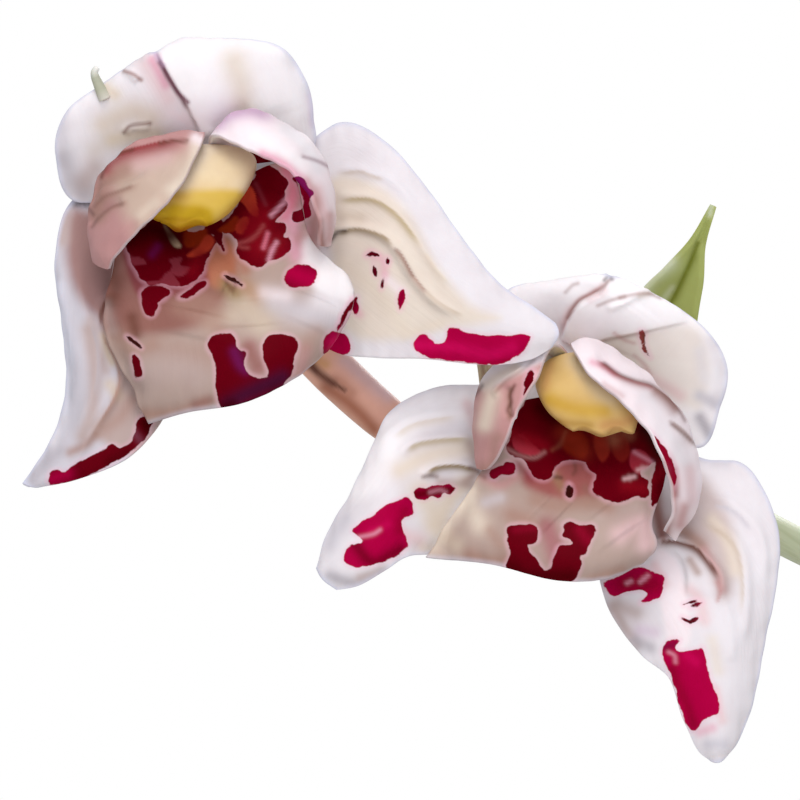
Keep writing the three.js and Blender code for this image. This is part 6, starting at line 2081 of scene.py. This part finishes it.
for bulb_number, (((x, y), radius, height, sweep), fan) in enumerate(zip(BULBS, FANS), 1):
    crown = MIX_TOP - BULB_SUNK + height
    for leaf_number, (way, rank, *bend) in enumerate(fan, 1):
        root = np.array([x + way * (2.6 + 2.6 * rank), y, crown - 1 - 4.5 * rank])
        add_leaf(f"leaf_{bulb_number}_{leaf_number}", root, sweep if way > 0 else 180 - sweep, *bend)

# %% [markdown]
# ## Pseudobulbs
# A pseudobulb is a swollen stem wrapped in the dry bases of old leaves. It is an egg-shaped tube here, with
# the wrappings as overlapping ribs, straw brown at the foot and green where it is young.

# %% Pseudobulbs
BULB_STEPS = (72, 64)
BULB_DEPTH = 0.85
WIDEST = 0.42
for number, ((x, y), radius, height, _) in enumerate(BULBS, 1):
    bm = bmesh.new()
    u, v = flat_sheet(bm, *BULB_STEPS)
    angle = 2 * np.pi * u
    wraps = 0.22 * np.abs(np.sin(7 * angle + 2 * v)) + 0.35 * soft_step((np.sin(angle + 5 * v) - 0.2) / 0.1)
    plump = radius * np.sqrt(np.maximum(0, 1 - ((v - WIDEST) / 0.66) ** 2)) + wraps - 0.2
    close = np.sqrt(np.clip(np.minimum(v, 1 - v) / 0.05, 0, 1))
    spread = plump * (0.25 + 0.75 * close)
    level = MIX_TOP - BULB_SUNK + v * height
    points = np.stack([x + spread * np.cos(angle), y + BULB_DEPTH * spread * np.sin(angle), level], axis=1)
    qualities = {"along": v, "streak_round": 10 * np.sin(angle), "streak_along": 2 * v + 4 * np.cos(angle)}
    add_piece(bm, points, f"pseudobulb_{number}", bulb_skin, qualities)

# %% [markdown]
# ## Potting mix
# Orchids grow in coarse bark. The plug's surface is a turned profile, lumped by waves, and a few hundred
# bevelled chips lie half sunk in it. One seeded draw places them, so every run is the same.

# %% Pot profile
POT = {"height": 124, "rim": 66, "waist": 60, "foot": 42, "wall": 5.5, "floor": 8}
DRAIN_RADIUS = 5
DRAIN_CIRCLE = 22
GAP = 0.35
WAIST_LEVEL = 38


def pot_wall(z):
    """The pot's outer radius below its rim, at a height in millimetres."""
    low = POT["foot"] + (POT["waist"] - 5 - POT["foot"]) * z / WAIST_LEVEL
    high = POT["waist"] - 5 + 5 * (z - WAIST_LEVEL) / (POT["height"] - 54)
    return low if z < WAIST_LEVEL else high


def mix_wall(z):
    """The plug's radius at a height: the pot's inside, less the gap between them."""
    inside = pot_wall(WAIST_LEVEL) - POT["wall"]
    top = POT["waist"] - POT["wall"] + 0.5
    return inside + (top - inside) * (z - WAIST_LEVEL) / (POT["height"] - 50) - GAP - 0.2


# %% Bark
# Composted bark: dull brown chips, each with a tone of its own, worn pale along a grain of 3 mm.
bark, tree = start_material("composted_bark")
place = add_node(tree, "TexCoord", output="Object")
grain = add_node(tree, "TexNoise", {"Vector": place, "Scale": 1 / (3 * MM), "Detail": 5.0})
tone = add_node(tree, "Attribute", output="Fac", attribute_name="tone")
browns = {FACTOR: tone, UNDER: colour("#4a2e1e"), OVER: colour("#b08a62")}
chip_tone = add_node(tree, "Mix", browns, MIXED, **MIX)
worn = add_node(tree, "MapRange", [grain, 0.3, 0.75], **SMOOTH)
wear = add_node(tree, "Mix", {FACTOR: worn, UNDER: colour("#7a6656"), OVER: colour("#ffffff")}, MIXED, **MIX)
bark_finish = {
    "Base Color": add_node(tree, "Mix", {FACTOR: 1.0, UNDER: chip_tone, OVER: wear}, MIXED, **MULTIPLY),
    "Normal": add_node(tree, "Bump", {"Height": grain, "Strength": 0.6, "Distance": 0.8 * MM}),
    "Roughness": 0.9,
    "IOR": 1.4,
}
finish_material(tree, bark_finish)
print("Bark is ready")

# %% The plug
MIX_STEPS = (110, 90)
MIX_FOOT = POT["floor"] + GAP
SHOULDER = MIX_TOP - 3
AXIS = 0.01
mix_radius = mix_wall(SHOULDER)
# Radius and height of the plug's profile, and the share of the steps at which each of its points comes.
mix_profile = [
    (AXIS, MIX_FOOT, 0),
    (POT["foot"] - POT["wall"] - GAP, MIX_FOOT, 0.1),
    (mix_wall(WAIST_LEVEL), WAIST_LEVEL, 0.25),
    (mix_radius, SHOULDER, 0.45),
    (0.97 * mix_radius, MIX_TOP - 2, 0.5),
    (0.5 * mix_radius, MIX_TOP - 0.5, 0.75),
    (AXIS, MIX_TOP, 1),
]
radii, levels, shares = zip(*mix_profile)
bm = bmesh.new()
u, v = flat_sheet(bm, *MIX_STEPS)
angle = 2 * np.pi * u
radius = np.interp(v, shares, radii)
x, y = radius * np.cos(angle), radius * np.sin(angle)
lumps = 0.8 * np.sin(0.45 * x + 2) * np.cos(0.38 * y) + 0.5 * np.sin(1.1 * x - 0.7 * y)
level = np.interp(v, shares, levels) + lumps * soft_step((v - 0.46) / 0.06)
move_vertices(bm, np.stack([x, y, level], axis=1))
print("The plug is", round(2 * mix_radius, 1), "mm wide")

# %% Chips
CHIPS = 420
CHIP_LENGTH, CHIP_WIDTH, CHIP_HEIGHT = (4, 9), (3, 6), (1.2, 2.6)
CHIP_BEVEL = 0.45
UNEVEN = 0.35
tone = bm.verts.layers.float.new("tone")
rng = np.random.default_rng(7)
for _ in range(CHIPS):
    reach = 0.95 * mix_radius * math.sqrt(rng.random())
    turn = rng.random() * 2 * math.pi
    chip = bmesh.ops.create_cube(bm, size=1)["verts"]
    size = Vector((rng.uniform(*CHIP_LENGTH), rng.uniform(*CHIP_WIDTH), rng.uniform(*CHIP_HEIGHT)))
    bmesh.ops.scale(bm, vec=size, verts=chip)
    edges = list({edge for vertex in chip for edge in vertex.link_edges})
    bevelled = bmesh.ops.bevel(
        bm, geom=edges, offset=CHIP_BEVEL, segments=1, profile=0.5, affect="EDGES", material=-1
    )
    chip = list({vertex for face in bevelled["faces"] for vertex in face.verts})
    chip_shade = rng.random() ** 1.6
    for vertex in chip:
        vertex.co += Vector(rng.uniform(-UNEVEN, UNEVEN, 3))
        vertex[tone] = chip_shade
    tilt = Vector((rng.uniform(-UNEVEN, UNEVEN), rng.uniform(-UNEVEN, UNEVEN), 1)).to_track_quat("Z", "Y")
    spin = Vector((math.cos(turn * 3), math.sin(turn * 3), 0)).to_track_quat("X", "Z")
    bmesh.ops.rotate(bm, verts=chip, cent=(0, 0, 0), matrix=(tilt @ spin).to_matrix())
    lying = MIX_TOP - 2 * (reach / mix_radius) ** 2 + rng.uniform(-0.2, 0.9)
    bmesh.ops.translate(bm, verts=chip, vec=(reach * math.cos(turn), reach * math.sin(turn), lying))
mix_points = np.array([vertex.co for vertex in bm.verts])
add_piece(bm, mix_points, "potting_mix", bark)

# %% [markdown]
# ## Pot
# The pot was thrown on a wheel from brown clay and left unglazed. Its profile is spun into a solid, with the
# wheel's low rings left on its side, and the four drain holes are cut through its floor.

# %% Unglazed clay
# Dull, gritty and a little uneven in colour: grit of 0.8 mm, and clouds of 45 mm from the firing.
clay, tree = start_material("unglazed_brown_clay")
place = add_node(tree, "TexCoord", output="Object")
grit = add_node(tree, "TexNoise", {"Vector": place, "Scale": 1 / (0.8 * MM), "Detail": 4.0})
firing = add_node(tree, "TexNoise", {"Vector": place, "Scale": 1 / (45 * MM), "Detail": 3.0})
reds = {FACTOR: firing, UNDER: colour("#5d3a2c"), OVER: colour("#84553f")}
fired = add_node(tree, "Mix", reds, MIXED, **MIX)
specks = add_node(tree, "MapRange", [grit, 0.55, 0.75, 0, 0.5])
speckled = {FACTOR: specks, UNDER: fired, OVER: colour("#a5765a")}
clay_finish = {
    "Base Color": add_node(tree, "Mix", speckled, MIXED, **MIX),
    "Normal": add_node(tree, "Bump", {"Height": grit, "Strength": 0.35, "Distance": 0.3 * MM}),
    "Roughness": 0.78,
    "IOR": 1.5,
}
finish_material(tree, clay_finish)
print("Clay is ready")

# %% Turn the pot
POT_CUTS = 128
WALL_STEPS = 44
RING_DEPTH = 0.22
RINGS_PER_MM = 1.05


def pot_profile():
    """The pot's outline from the middle of its foot, up its side, over its rim and down to its floor."""
    height, rim, waist, foot = (POT[name] for name in ("height", "rim", "waist", "foot"))
    wall, base = POT["wall"], POT["floor"]
    outside = [
        (pot_wall(level) + RING_DEPTH * math.sin(level * RINGS_PER_MM), level)
        for level in np.linspace(3, height - 16, WALL_STEPS)
    ]
    lip = [
        (waist + 1.5, height - 12),
        (rim - 0.8, height - 10.4),
        (rim, height - 9.4),
        (rim + 0.8, height - 7),
        (rim + 1, height - 5),
        (rim + 0.8, height - 2.8),
        (rim, height - 1),
        (rim - 1, height - 0.3),
        (rim - 2, height),
        (rim - 4, height - 0.2),
        (rim - 6, height - 1),
        (rim - 8.6, height - 5),
        (waist - wall + 0.5, height - 12),
    ]
    inside = [
        (pot_wall(WAIST_LEVEL) - wall, WAIST_LEVEL),
        (foot - wall + 2, base + 3),
        (foot - wall + 0.8, base + 0.8),
        (foot - wall - 1, base),
        (0, base),
    ]
    return [(0, 0), (foot - 0.8, 0), (foot + 0.6, 0.8), *outside, *lip, *inside]


bm = bmesh.new()
verts = [bm.verts.new((radius * MM, 0, level * MM)) for radius, level in pot_profile()]
edges = [bm.edges.new(pair) for pair in zip(verts, verts[1:])]
bmesh.ops.spin(
    bm,
    geom=verts + edges,
    cent=(0, 0, 0),
    axis=(0, 0, 1),
    angle=2 * math.pi,
    steps=POT_CUTS,
    use_merge=True,
)
bmesh.ops.remove_doubles(bm, verts=bm.verts[:], dist=WELD * MM)
bmesh.ops.recalc_face_normals(bm, faces=bm.faces[:])
pot_mesh = bpy.data.meshes.new("pot_looks")
bm.to_mesh(pot_mesh)
bm.free()
print("The pot is turned")

# %% Drill the drain holes
turned = bpy.data.objects.new("turned_pot", pot_mesh)
bpy.context.collection.objects.link(turned)
for angle in np.radians([45, 135, 225, 315]):
    drill_bm = bmesh.new()
    bmesh.ops.create_cone(
        drill_bm,
        cap_ends=True,
        segments=32,
        radius1=DRAIN_RADIUS * MM,
        radius2=DRAIN_RADIUS * MM,
        depth=3 * POT["floor"] * MM,
    )
    place = (DRAIN_CIRCLE * MM * math.cos(angle), DRAIN_CIRCLE * MM * math.sin(angle), 0)
    bmesh.ops.translate(drill_bm, verts=drill_bm.verts[:], vec=place)
    drill_mesh = bpy.data.meshes.new("drill")
    drill_bm.to_mesh(drill_mesh)
    drill_bm.free()
    drill = bpy.data.objects.new("drill", drill_mesh)
    bpy.context.collection.objects.link(drill)
    cut = turned.modifiers.new("drain", "BOOLEAN")
    cut.operation = "DIFFERENCE"
    cut.object = drill
    drilled = turned.evaluated_get(bpy.context.evaluated_depsgraph_get())
    turned.data = bpy.data.meshes.new_from_object(drilled)
    turned.modifiers.clear()
    bpy.data.objects.remove(drill)
pot_mesh = turned.data
bpy.data.objects.remove(turned)
pot_mesh.shade_smooth()
pot_mesh.set_sharp_from_angle(angle=math.radians(50))
stand_for(pot_mesh, "pot", clay)
